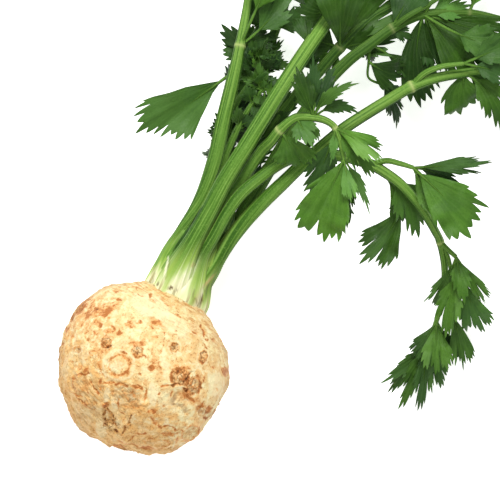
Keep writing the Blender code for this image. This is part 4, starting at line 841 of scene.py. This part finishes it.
def place(photo_x, photo_y, height_mm):
    """A photo position and a height as a point in the part's own frame."""
    right = (photo_x - PHOTO_ROOT_CENTRE[0]) * PHOTO_PIXEL
    up = (PHOTO_ROOT_CENTRE[1] - photo_y) * PHOTO_PIXEL
    return PHOTO_RIGHT * right + PHOTO_UP * up + np.array([0, 0, height_mm * MM])


def rumple(points, size, depth):
    """Fractal noise from about -1 to 1 at each point, with features of a real size."""
    return np.array([noise.fractal(Vector(p) / size, 1.0, 2.1, depth) for p in points])


def globe_net(squares):
    """Unit directions and triangles of a cube's net blown up to a globe."""
    steps = np.arange(squares + 1)
    a, b = (grid.ravel() for grid in np.meshgrid(steps, steps, indexing="ij"))
    corner = (np.arange(squares)[:, None] * (squares + 1) + np.arange(squares)).ravel()
    quad = np.stack([corner, corner + squares + 1, corner + squares + 2, corner + 1], 1)
    net, quads = [], []
    for axis in range(3):
        for end in (0, squares):
            side = np.empty((len(a), 3), int)
            side[:, axis] = end
            side[:, (axis + 1) % 3] = a
            side[:, (axis + 2) % 3] = b
            quads.append(quad + len(net) * len(a))
            net.append(side)
    corners, where = np.unique(np.concatenate(net), axis=0, return_inverse=True)
    quads = where.ravel()[np.concatenate(quads)]
    triangles = np.concatenate([quads[:, [0, 1, 2]], quads[:, [0, 2, 3]]])
    return unit(np.tan((corners / squares * 2 - 1) * math.pi / 4)), triangles


def lumpy_reach(directions):
    """Distance from the root's centre to its skin along each unit direction."""
    reach = np.full(len(directions), ROOT_RADIUS)
    for bearing, rise, spread, height in ROOT_LUMPS:
        flat = math.cos(math.radians(rise))
        lump = np.array([math.cos(math.radians(bearing)) * flat,
                         math.sin(math.radians(bearing)) * flat, math.sin(math.radians(rise))])
        angle = np.degrees(np.arccos(np.clip(directions @ lump, -1, 1)))
        reach += height * MM * np.exp(-(angle / spread) ** 2)
    return reach


def marks_of(kinds):
    """The marks of a list that is sorted by their kind."""
    return [Mark(kind, *row) for kind, rows in kinds.items() for row in rows]


def mark_frames():
    """Every mark with its own axes: those seen from above, then the hidden ones."""
    chance = random.Random("marks on the hidden sides")
    for mark in marks_of(MARKS):
        right = (mark.x - PHOTO_ROOT_CENTRE[0]) * PHOTO_PIXEL
        up = (PHOTO_ROOT_CENTRE[1] - mark.y) * PHOTO_PIXEL
        yield mark, np.array([0.0, 0.0, 1.0]), PHOTO_RIGHT, PHOTO_UP, right, up
    for _ in range(HIDDEN_MARKS):
        bearing = chance.uniform(0, 2 * math.pi)
        rise = -chance.uniform(0.02, 0.95)
        flat = math.sqrt(1 - rise * rise)
        facing = np.array([flat * math.cos(bearing), flat * math.sin(bearing), rise])
        kind = chance.choice(sorted(MARK_LAYERS))
        size, narrow = MARK_SIZES.get(kind, USUAL_MARK_SIZE)
        mark = Mark(kind, 0, 0, size * chance.uniform(0.7, 1.3), size * narrow,
                    chance.uniform(0, 180), chance.uniform(0.6, 1.0))
        side = unit(np.cross([0.0, 0.0, 1.0], facing))
        yield mark, facing, side, np.cross(facing, side), 0.0, 0.0


def mark_parts(mark, right, up, ragged):
    """How far points at given millimetres from a mark's centre belong to each of its parts."""
    cosine, sine = math.cos(math.radians(mark.turn)), math.sin(math.radians(mark.turn))
    along, across = right * cosine + up * sine, up * cosine - right * sine
    near = np.hypot(along / mark.long, across / mark.wide) + ragged
    return {"inside": smooth_step((1.15 - near) / 0.35), "core": smooth_step((0.62 - near) / 0.3),
            "soft": np.exp(-1.3 * np.maximum(near, 0.0) ** 2),
            "rim": np.exp(-((near - 0.90) / 0.13) ** 2),
            "outer": np.exp(-((near - 1.32) / 0.13) ** 2)}


def build_root(skin):
    """The swollen root: lumps, ringed leaf scars, corky spots, creases and a rough root end."""
    directions, triangles = globe_net(ROOT_SQUARES)
    reach = lumpy_reach(directions)
    points = directions * reach[:, None]
    coarse = rumple(points, COARSE, 3)
    middle = rumple(points + 1.0, MIDDLE, 3)
    fine = rumple(points + 2.0, FINE, 2)
    sideways = rumple(points + 3.0, MIDDLE, 3)
    # How far the skin is like that of the root end, away from the stalks, or of the shoulder
    leftward = -directions @ PHOTO_RIGHT
    rooty = smooth_step((-directions[:, 1] + 0.16 * coarse + 0.28 * leftward + 0.34) / 1.1)
    shoulder = smooth_step((directions[:, 1] - 0.35 + 0.1 * coarse) / 0.45)
    layers = {name: np.zeros(len(points)) for name in ("lift", "rumple") + ROOT_LAYERS}
    for mark, facing, right, up, at_right, at_up in mark_frames():
        wobble = min(1.0, 4 / mark.long + 0.3) * MARK_WOBBLE.get(mark.kind, 1.0)
        ragged = (0.24 * middle + 0.12 * fine + 0.10 * coarse) * wobble
        ragged = np.where(points @ facing > 0, ragged, OUT_OF_REACH)
        stray = MARK_STRAY.get(mark.kind, USUAL_STRAY)
        parts = mark_parts(mark, (points @ right - at_right) / MM + stray * (middle + 0.3 * fine),
                           (points @ up - at_up) / MM + stray * sideways, ragged)
        for layer, part, amount in MARK_LAYERS[mark.kind]:
            layers[layer] += parts[part] * amount * mark.strength
    # In mm: unevenness that grows towards the root end, rings on the shoulder, and the marks
    lift = (coarse * (0.5 + 1.3 * rooty) + middle * (0.26 + 0.70 * rooty)
            + fine * (0.14 + 0.12 * rooty))
    lift += shoulder * 0.22 * np.sin(points[:, 1] / (0.62 * MM) + 3.0 * coarse)
    lift += layers["lift"] + layers["rumple"] * (1.2 * middle + 0.8 * fine)
    reach = reach + lift * MM
    points = directions * reach[:, None]
    # The crown is flat, with the skin drawn up round the stalks' feet.
    from_axis = np.hypot(points[:, 0] - CROWN_OFFSET, points[:, 2])
    climb = smooth_step((NECK_REACH - from_axis) / NECK_WIDTH + 0.15 * coarse)
    crown = CROWN_HEIGHT + NECK_RISE * climb
    over = points[:, 1] > crown
    points[over] *= (crown[over] / points[over, 1])[:, None]
    # The underside is darker, painted shade with a browner skin, from an uneven line round the root,
    # so that it shows no band.
    level = np.maximum(directions[:, 2] + 0.16 * coarse + 0.05 * middle, 0.0)
    under = sum(strength * np.exp(-(level / fade) ** 2) for strength, fade in UNDERSIDE_BROWN_AND_SHADE)
    under *= 1.0 + 0.9 * coarse - 0.25 * smooth_step(-directions[:, 2] / 0.9)
    points[:, 2] = np.maximum(points[:, 2] + ROOT_CENTRE_HEIGHT, 0.0)
    collar = climb * smooth_step((directions[:, 1] - 0.75) / 0.1)
    piece = Piece("washed_root")
    piece.add(points, triangles, 0, rooty=rooty, shoulder=shoulder, under=np.clip(under, 0, 1),
              collar=collar, **{name: np.clip(layers[name], 0, 1) for name in ROOT_LAYERS})
    return piece.make([skin])


def smooth_route(knots, values, step):
    """Points and blended values along a smooth curve through the knots, and the length
    along it at each point and at each knot."""
    knots = [np.asarray(k, float) for k in knots]
    spans = [max(np.linalg.norm(b - a), 1e-6) for a, b in zip(knots, knots[1:])]
    times = np.concatenate([[0.0], np.cumsum(spans)])
    last = len(knots) - 1
    slopes = [(knots[min(i + 1, last)] - knots[max(i - 1, 0)])
              / (times[min(i + 1, last)] - times[max(i - 1, 0)]) for i in range(last + 1)]
    points, blends, marks = [], [], []
    for i, span in enumerate(spans):
        pieces = max(1, math.ceil(span / step))
        marks.append(len(points))
        for k in range(pieces):
            t = k / pieces
            points.append((2 * t**3 - 3 * t**2 + 1) * knots[i]
                          + (t**3 - 2 * t**2 + t) * span * slopes[i]
                          + (3 * t**2 - 2 * t**3) * knots[i + 1]
                          + (t**3 - t**2) * span * slopes[i + 1])
            blends.append([a + (b - a) * t for a, b in zip(values[i], values[i + 1])])
    marks.append(len(points))
    points = np.array(points + [knots[-1]])
    lengths = np.concatenate([[0.0], np.cumsum(np.linalg.norm(np.diff(points, axis=0), axis=1))])
    return points, np.array(blends + [list(values[-1])]), lengths, lengths[marks]


def sweep_stalk(piece, points, sizes, lengths, outward, facing, joints, ribs, tone, start=0.0,
                crown_end=False, clasp=None, deep=None):
    """A closed ribbed stalk through points, thicker at its joints. Tone says how bright it is, and
    start how far up a stalk it begins. One that stands on the crown has a clasp: how much it
    curves round the crown's centre. Deep is how far the darkest green covers it."""
    rings = len(points)
    along = unit(np.gradient(points, axis=0))
    if crown_end:
        along[0] = (0, 1, 0)
    share = smooth_step(lengths / max(lengths[-1], 1e-9) / TURN_SHARE)[:, None]
    towards = outward * (1 - share) + facing * share
    side = unit(np.cross(along, towards))
    back = unit(np.cross(side, along))
    curve = np.broadcast_to(0.0 if clasp is None else clasp, rings)
    joint = np.zeros(rings)
    for mark in joints:
        joint = np.maximum(joint, np.exp(-((lengths - mark) / JOINT_LENGTH) ** 2))
    sides = ribs * SIDES_PER_RIB
    turn = 2 * np.pi * np.arange(sides) / sides
    rib = np.abs(np.sin(turn * ribs / 2 + 0.35 * np.sin(turn * 2 + ribs))) ** 0.7
    swell = (1 + JOINT_SWELL * joint)[:, None] * (1 + RIB_DEPTH * (2 * rib - 1))[None, :]
    out = np.sin(turn)
    flat = np.where(out > 0, 1.0, GROOVE) * out
    wide = sizes[:, :1] * swell * np.cos(turn)
    thick = sizes[:, 1:] * swell * flat - curve[:, None] * wide ** 2 / (2 * CLASP_RADIUS)
    net = (points[:, None, :] + side[:, None, :] * wide[..., None]
           + back[:, None, :] * thick[..., None])
    ring = np.arange(sides)
    following = (ring + 1) % sides
    row = (np.arange(rings - 1) * sides)[:, None]
    a, b = (row + ring).ravel(), (row + following).ravel()
    triangles = np.concatenate([np.stack([a, b, b + sides], 1),
                                np.stack([a, b + sides, a + sides], 1)])
    points = np.concatenate([net.reshape(-1, 3), points[:1], points[-1:]])
    foot, top = rings * sides, rings * sides + 1
    triangles = np.concatenate([
        triangles, np.stack([ring * 0 + foot, following, ring], 1),
        np.stack([ring * 0 + top, ring + (rings - 1) * sides,
                  following + (rings - 1) * sides], 1)])

    def over_net(of_ring, of_turn=1.0):
        whole = (np.asarray(of_ring)[:, None] * np.broadcast_to(of_turn, sides)).ravel()
        return np.concatenate([whole, whole[:1], whole[-1:]])

    marks = {}
    if clasp is not None:
        marks = foot_marks(points)
    elif deep is not None:
        marks = {"deep": over_net(deep)}
    ones = np.ones(rings)
    up_stalk = lengths + start
    edge = np.exp(-((np.abs(np.cos(turn)) - 1) / EDGE_WIDTH) ** 2) * EDGE_STRENGTH
    dark = smooth_step((lengths - EDGE_FROM) / EDGE_RISE) * np.exp(-(up_stalk / EDGE_REACH) ** 2)
    piece.add(points, triangles, 0, rib=over_net(ones, rib), joint=over_net(joint),
              reach=over_net(up_stalk), round_cos=over_net(ones, np.cos(turn)),
              round_sin=over_net(ones, np.sin(turn)), edge_line=over_net(dark, edge), tone=tone,
              **marks)


def foot_marks(points):
    """The marks on the feet at each point of a stalk, where it lies on the upper side."""
    right, up = points @ PHOTO_RIGHT / MM, points @ PHOTO_UP / MM
    middle = rumple(points, 3.0 * MM, 2)
    layers = {layer: np.zeros(len(points)) for layer in FOOT_COLOURS}
    below = np.where(points[:, 2] > ROOT_CENTRE_HEIGHT - 6 * MM, 0.0, OUT_OF_REACH)
    for mark in marks_of(FOOT_MARKS):
        at_right = (mark.x - PHOTO_ROOT_CENTRE[0]) * PHOTO_PIXEL / MM
        at_up = (PHOTO_ROOT_CENTRE[1] - mark.y) * PHOTO_PIXEL / MM
        parts = mark_parts(mark, right - at_right, up - at_up, 0.12 * middle + below)
        layers[mark.kind] += parts["soft" if mark.wide > THIN_MARK else "inside"] * mark.strength
    return {layer: np.clip(amount, 0, 1) for layer, amount in layers.items()}


def blade_outline(form, chance):
    """A blade's rim as turns and reaches from edge to edge of its fan, and the turns of the
    slits that part its lobes."""
    loose = form.loose
    teeth = [(turn + chance.uniform(-0.03, 0.03) * loose,
              reach * (1 + chance.uniform(-0.08, 0.06) * loose),
              notch * (1 + chance.uniform(-0.4, 0.3) * loose)) for turn, reach, notch in form.teeth]
    turns, reaches, slits = [], [], []
    parted = False
    low = (-1.0, 0.86 * teeth[0][1])
    for number, (turn, reach, notch) in enumerate(teeth):
        after = teeth[number + 1] if number + 1 < len(teeth) else (2 - turn, 0.86 * reach, 0.0)
        middle = min((turn + after[0]) / 2, 1.0)
        shallow = min(reach, after[1]) * (1 - (notch if notch < SLIT else 0.10))
        lip = SLIT_WIDTH if notch > SLIT else 0.0
        for side, other in ((1, low), (-1, (middle - lip, shallow))):
            shared = side == 1 and number > 0 and not parted
            for k in range(1 if shared else 0, TOOTH_STEPS)[::side]:
                rise = k / TOOTH_STEPS
                turns.append(other[0] + (turn - other[0]) * rise)
                reaches.append(other[1] + (reach - other[1]) * (1 - (1 - rise) ** 1.35))
            if side == 1:
                turns.append(turn)
                reaches.append(reach)
        low = (middle + lip, shallow)
        parted = lip > 0
        if parted:
            slits.append(middle)
            turns.append(middle)
            reaches.append(min(reach, after[1]) * (1 - notch))
    return np.array(turns), np.array(reaches), slits


def inside_outline(points, outline):
    """Which points lie inside a closed outline."""
    x, y = points[:, 0][:, None], points[:, 1][:, None]
    x0, y0 = outline[:, 0], outline[:, 1]
    x1, y1 = np.roll(x0, -1), np.roll(y0, -1)
    crosses = (y0 > y) != (y1 > y)
    with np.errstate(divide="ignore", invalid="ignore"):
        meets = x < (x1 - x0) * (y - y0) / (y1 - y0) + x0
    return (crosses & meets).sum(axis=1) % 2 == 1


def flat_net(rim, length, half):
    """Corners in metres, and triangles, of a flat net with even meshes inside a rim in mm."""
    step = BLADE_NET / MM
    rows = np.arange(-half, half, step * 0.87)
    inner = np.array([(x + 0.6 + (step / 2 if number % 2 else 0.0), y)
                      for number, y in enumerate(rows) for x in np.arange(0, length, step)])
    inner = inner[inside_outline(inner, rim)]
    if len(inner):
        gaps = np.linalg.norm(inner[:, None, :] - rim[None, :, :], axis=2).min(axis=1)
        inner = inner[gaps > 0.45 * step]
    count = len(rim)
    corners, _, faces, _, _, _ = delaunay_2d_cdt(
        [Vector(p) for p in np.concatenate([rim, inner])],
        [(i, (i + 1) % count) for i in range(count)], [list(range(count))], 1, 1e-4)
    return np.array([tuple(c) for c in corners]) * MM, np.array([tuple(f) for f in faces], int)


def build_leaflet(piece, start, leaflet, tone, chance):
    """One leaflet: a toothed, pleated blade along a curved midrib, and the rib and stem."""
    tip = place(*leaflet.tip)
    chord = tip - start
    sideways = unit(np.array([-chord[1], chord[0], 0.0]))
    bend = (start + tip) / 2 + (sideways * leaflet.bow + np.array([0, 0, leaflet.lift])) * 2 * MM
    length = (np.linalg.norm(chord) + np.linalg.norm(bend - start) + np.linalg.norm(tip - bend)) / 2
    stem = min(leaflet.stem * MM, STEM_SHARE * length)
    blade_length = length - stem
    form = FORMS[leaflet.form]
    spread = math.radians(form.spread)
    turns, reaches, slits = blade_outline(form, chance)
    rim = np.stack([reaches * np.cos(turns * spread), reaches * np.sin(turns * spread)], 1)
    rim /= rim[:, 0].max()
    half = leaflet.width * MM / 2 or blade_length * np.abs(rim[:, 1]).max()
    across_scale = half / np.abs(rim[:, 1]).max()

    roll = math.radians(leaflet.roll + chance.uniform(-1, 1) * ROLL_SPREAD)
    twist = math.radians(chance.uniform(-16, 16))
    fold = BLADE_FOLD * chance.uniform(0.3, 1.8)
    cup = chance.uniform(-0.12, 0.14)
    curls = [chance.uniform(-1, 1) * LOBE_CURL for _ in range(len(slits) + 1)]
    pleats = [(chance.uniform(0, 2 * math.pi), chance.uniform(1.6, 3.0), PLEAT_DEPTH),
              (chance.uniform(0, 2 * math.pi), chance.uniform(4.0, 6.5), 0.5 * PLEAT_DEPTH)]
    waves = [(chance.uniform(0, 2 * math.pi), chance.uniform(1.6, 2.8), 0.12),
             (chance.uniform(0, 2 * math.pi), chance.uniform(3.0, 4.6), 0.07)]

    def frame_at(along):
        """Points on the midrib's curve, and the level and upward axes of the blade there."""
        t = (along / length)[:, None]
        point = (1 - t) ** 2 * start + 2 * t * (1 - t) * bend + t * t * tip
        heading = unit((1 - t) * (bend - start) + t * (tip - bend))
        level = np.cross(heading, [0.0, 0.0, 1.0])
        level[np.linalg.norm(level, axis=1) < 0.05] = sideways
        level = unit(level)
        up = unit(np.cross(level, heading))
        angle = roll + twist * (t - 0.3)
        return (point, level * np.cos(angle) + up * np.sin(angle),
                up * np.cos(angle) - level * np.sin(angle))

    def fan_place(along, across):
        """Turn and reach in the fan."""
        s, t = (along - stem) / blade_length, across / across_scale
        return np.arctan2(t, np.maximum(s, 1e-4)) / spread, np.hypot(s, t)

    def lobe_at(turn):
        """How far the lobe at a turn lifts."""
        lobe = np.full(len(turn), curls[0])
        for slit, before, after in zip(slits, curls, curls[1:]):
            lobe = lobe + (after - before) * smooth_step((turn - slit) / (2 * SLIT_WIDTH) + 0.5)
        return lobe

    def lay(along, across):
        """Middle of the blade's thickness, and the blade's upward axis."""
        point, level, up = frame_at(along)
        turn, reach = fan_place(along, across)
        out = np.abs(across)
        share = out / half
        rise = fold * (np.sqrt(out ** 2 + MIDRIB_BEND ** 2) - MIDRIB_BEND) + cup * out * share
        for phase, count, height in waves:
            angle = phase + 2 * np.pi * count * along / length + 1.3 * np.sign(across) + 1.5 * share
            rise = rise + np.sin(angle) * height * half * share ** 1.4
        for phase, count, height in pleats:
            rise = rise + np.sin(phase + np.pi * count * turn) * height * reach * blade_length
        rise = rise + lobe_at(turn) * np.clip((reach - 0.4) / 0.6, 0, 1) ** 2 * blade_length
        blade = smooth_step((along - stem) / (SPREAD_SHARE * blade_length))
        return point + level * across[:, None] + up * (blade * rise)[:, None], up

    sides = np.array([0.25, 0.5, 0.75])
    first, last = (np.stack([end[0] * sides, end[1] * sides ** edge], 1)
                   for end, edge in zip((rim[0], rim[-1]), form.edge))
    last = last[::-1]
    neck = NECK_SHARE * half / across_scale
    rim = np.concatenate([[(0.0, -neck)], first, rim, last, [(0.0, neck)]])
    flat, faces = flat_net(rim * (blade_length, across_scale) / MM, blade_length / MM, half / MM)
    along, across = stem + flat[:, 0], flat[:, 1]
    middle, up = lay(along, across)
    # An edge that only one triangle has is on the rim, where the blade gets thinner.
    pairs = {pair for a, b, c in faces for pair in ((a, b), (b, c), (c, a))}
    border = np.array([pair for pair in sorted(pairs) if (pair[1], pair[0]) not in pairs])
    thin = np.full(len(flat), BLADE_THICKNESS / 2)
    thin[np.unique(border)] *= RIM_SHARE
    over, under = middle + up * thin[:, None], middle - up * thin[:, None]
    # What would be under the table is lifted onto it.
    sink = np.maximum(-np.minimum(under[:, 2], over[:, 2]), 0.0)
    over[:, 2] += sink
    under[:, 2] += sink
    total = len(flat)
    a, b = border.T
    walls = np.concatenate([np.stack([a, a + total, b + total], 1), np.stack([a, b + total, b], 1)])
    turn, reach = fan_place(along, across)
    # For the finish: how each lobe leans, for its painted light and shade, and the painted shade
    # along the slits, both from the stem out
    lobe = lobe_at(turn) / LOBE_CURL * smooth_step((reach - 0.15) / 0.5)
    crease = sum((np.exp(-((turn - slit) / SLIT_SHADE) ** 2) for slit in slits), np.zeros(total))
    crease = crease * smooth_step((reach - 0.1) / 0.4)
    of_both_faces = {"fan_turn": turn, "fan_reach": reach, "lobe": lobe, "crease": crease,
                     "fan_spread": spread * reach * across_scale / MM}
    piece.add(np.concatenate([over, under]),
              np.concatenate([faces, faces[:, ::-1] + total, walls]), 1,
              leaf=chance.uniform(0, 90), cool=chance.uniform(0, 1), tone=tone,
              beneath=np.concatenate([np.zeros(total), np.ones(total)]),
              **{name: np.tile(column, 2) for name, column in of_both_faces.items()})
    # The rib: a round stem that thins out and sinks into the blade, and that is nearly as dark as
    # the blade where that is a dark one
    stretch = np.linspace(0.0, stem + RIB_SHARE * blade_length, RIB_RINGS)
    centre, up = lay(stretch, np.zeros(len(stretch)))
    fade = smooth_step((stretch - 0.6 * stem) / (stretch[-1] - 0.6 * stem))
    on_blade = smooth_step((stretch - 0.85 * stem) / (0.15 * blade_length))
    radius = STEM_RADIUS * min(1.0, 0.55 + half / (30 * MM)) * (1 - fade) + RIB_RADIUS * fade
    centre = centre + up * (0.15 * radius - 0.5 * fade * RIB_RADIUS)[:, None]
    centre[:, 2] = np.maximum(centre[:, 2], radius)
    lengths = np.concatenate([[0.0], np.cumsum(np.linalg.norm(np.diff(centre, axis=0), axis=1))])
    level = np.array([0, 0, 1.0])
    sweep_stalk(piece, centre, np.stack([radius, radius], 1), lengths, level, level, [], STEM_RIBS,
                start=PAST_FOOT, tone=max(0.0, tone - 0.1), deep=0.85 * on_blade * (1 - tone))


def build_stalk(stalk, materials):
    """A leafy stalk: its ribbed tube, side branches and leaflets as one mesh."""
    bearing = math.radians(stalk.bearing)
    outward = np.array([math.cos(bearing), 0, math.sin(bearing)])
    facing = np.array([0, 0, 1.0 if outward[2] > -0.1 else -1.0])
    seat = (np.array([CROWN_OFFSET, CROWN_HEIGHT + SEAT_GAP, ROOT_CENTRE_HEIGHT])
            + outward * stalk.out * MM)
    foot = FOOT_OUTER if stalk.out > OUTER_RING else FOOT_INNER
    route = [place(*p) for p in stalk.route]
    knots = [seat, seat + np.array([0, FOOT_RISE, 0])] + [place(*p) for p in stalk.foot] + route
    radii = [r * MM for r in stalk.radii]
    sizes = [foot, foot]
    for number in range(len(stalk.foot)):
        share = (number + 1) / (len(stalk.foot) + 1)
        sizes.append([f + (radii[0] - f) * share for f in foot])
    first = len(sizes)
    sizes += [(r, r) for r in radii]
    points, widths, lengths, marks = smooth_route(knots, sizes, STALK_STEP)
    clasp = 1 - smooth_step(lengths / FLARE_LENGTH)
    widths = widths * (1 + clasp[:, None] * FOOT_FLARE)
    piece = Piece(stalk.name.replace("leafy_stalk", "grown_stalk"))
    ribs = max(5, round(2 * math.pi * radii[0] / RIB_SPACING))
    sweep_stalk(piece, points, widths, lengths, outward, facing,
                [marks[first + at] for at in stalk.joints], ribs, crown_end=True,
                tone=stalk.tone, clasp=clasp)

    def add_leaflets(leaflets, knots, label):
        for number, leaflet in enumerate(leaflets):
            chance = random.Random(f"{stalk.name} {label} {number} looks")
            tone = stalk.tone + chance.uniform(-1, 1) * TONE_SPREAD
            if leaflet.tone is not None:
                tone = leaflet.tone
            build_leaflet(piece, knots[leaflet.at], leaflet, min(max(tone, 0.0), 1.0), chance)

    if stalk.name == HEART_STALK:
        # The sheath's darkest green is painted shade in the gap between the stalks.
        heart = [place(*p) for p in HEART_ROUTE]
        centres, sheath, lengths, _ = smooth_route(
            heart, [(wide * MM, deep * MM) for wide, deep in HEART_SIZES], STALK_STEP)
        sweep_stalk(piece, centres, sheath, lengths, facing, facing, [], HEART_RIBS, tone=0.0,
                    clasp=0.0)
    add_leaflets(stalk.leaflets, route, "leaflet")
    for number, tuft in enumerate(stalk.tufts):
        chance = random.Random(f"{stalk.name} tuft {number}")
        x, y, height = stalk.route[tuft.at]
        for _ in range(tuft.count):
            turn = math.radians(tuft.turn + chance.uniform(-1, 1) * tuft.stray)
            reach = tuft.length * chance.uniform(0.6, 1.2) * MM / PHOTO_PIXEL
            tip = (x + math.cos(turn) * reach, y - math.sin(turn) * reach,
                   height + tuft.rise + chance.uniform(-7, 7))
            start = place(x + chance.uniform(-3, 3), y + chance.uniform(-3, 3), height)
            curly = Leaflet(tuft.at, tip, tuft.length * chance.uniform(0.5, 0.75), 1.5,
                            chance.uniform(-4, 4), chance.uniform(-1, 4), chance.uniform(-45, 45),
                            chance.choice(["fan", "lance"]))
            tone = min(max(tuft.tone + chance.uniform(-0.15, 0.2), 0), 1)
            build_leaflet(piece, start, curly, tone, chance)
    for number, branch in enumerate(stalk.branches):
        knots = [route[branch.at]] + [place(*p) for p in branch.route]
        centres, thin, lengths, _ = smooth_route(knots, [(r * MM, r * MM) for r in branch.radii],
                                                 STALK_STEP)
        sweep_stalk(piece, centres, thin, lengths, facing, facing, [], BRANCH_RIBS,
                    start=PAST_FOOT, tone=stalk.tone)
        add_leaflets(branch.leaflets, knots, f"branch_{number}")
    return piece.make(materials)


def lay_floor():
    """A wide flat floor at the height of the table."""
    mesh = bpy.data.meshes.new("studio_floor")
    mesh.from_pydata([(x * FLOOR_HALF, y * FLOOR_HALF, 0)
                      for x, y in ((-1, -1), (1, -1), (1, 1), (-1, 1))], [], [(0, 1, 2, 3)])
    mesh.materials.append(floor_paper())
    floor = bpy.data.objects.new("studio_floor", mesh)
    bpy.context.scene.collection.objects.link(floor)


def set_lights():
    """A bright dome, one strong lamp from the top of the picture and a wide, weaker one opposite."""
    world = bpy.data.worlds.new("studio")
    bpy.context.scene.world = world
    world.use_nodes = True
    dome = world.node_tree.nodes["Background"]
    dome.inputs["Color"].default_value = (1, 1, 1, 1)
    dome.inputs["Strength"].default_value = DOME_STRENGTH
    for lamp in LAMPS:
        light = bpy.data.lights.new(lamp.name, "AREA")
        light.shape = "DISK"
        light.size = lamp.width
        light.energy = lamp.power
        stand = bpy.data.objects.new(lamp.name, light)
        stand.location = (LAMPS_AIM + PHOTO_RIGHT * lamp.right + PHOTO_UP * lamp.up
                          + np.array([0, 0, lamp.above]))
        aim = Vector(LAMPS_AIM) - stand.location
        stand.rotation_euler = aim.to_track_quat("-Z", "Y").to_euler()
        bpy.context.scene.collection.objects.link(stand)
    bpy.context.scene.view_settings.view_transform = "Standard"


def set_camera():
    """Looks straight down, turned so that the root's axis leans as in the photograph."""
    camera = bpy.data.cameras.new("camera")
    camera.sensor_width = SENSOR_WIDTH
    camera.lens = camera.sensor_width * CAMERA_DISTANCE / (PHOTO_SIZE * PHOTO_PIXEL)
    view = bpy.data.objects.new("camera", camera)
    middle = place(PHOTO_SIZE / 2, PHOTO_SIZE / 2, 0)
    view.location = (middle[0], middle[1], ROOT_CENTRE_HEIGHT + CAMERA_DISTANCE)
    view.rotation_euler = (0, 0, PHOTO_LEAN)
    bpy.context.scene.collection.objects.link(view)
    bpy.context.scene.camera = view


set_camera()
set_lights()
lay_floor()

root = build_root(root_skin())
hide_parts("celeriac_root")
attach(root, "root")

finishes = [stalk_skin(), leaf_skin()]
for stalk in STALKS:
    grown = build_stalk(stalk, finishes)
    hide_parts(stalk.name)
    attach(grown, "root")
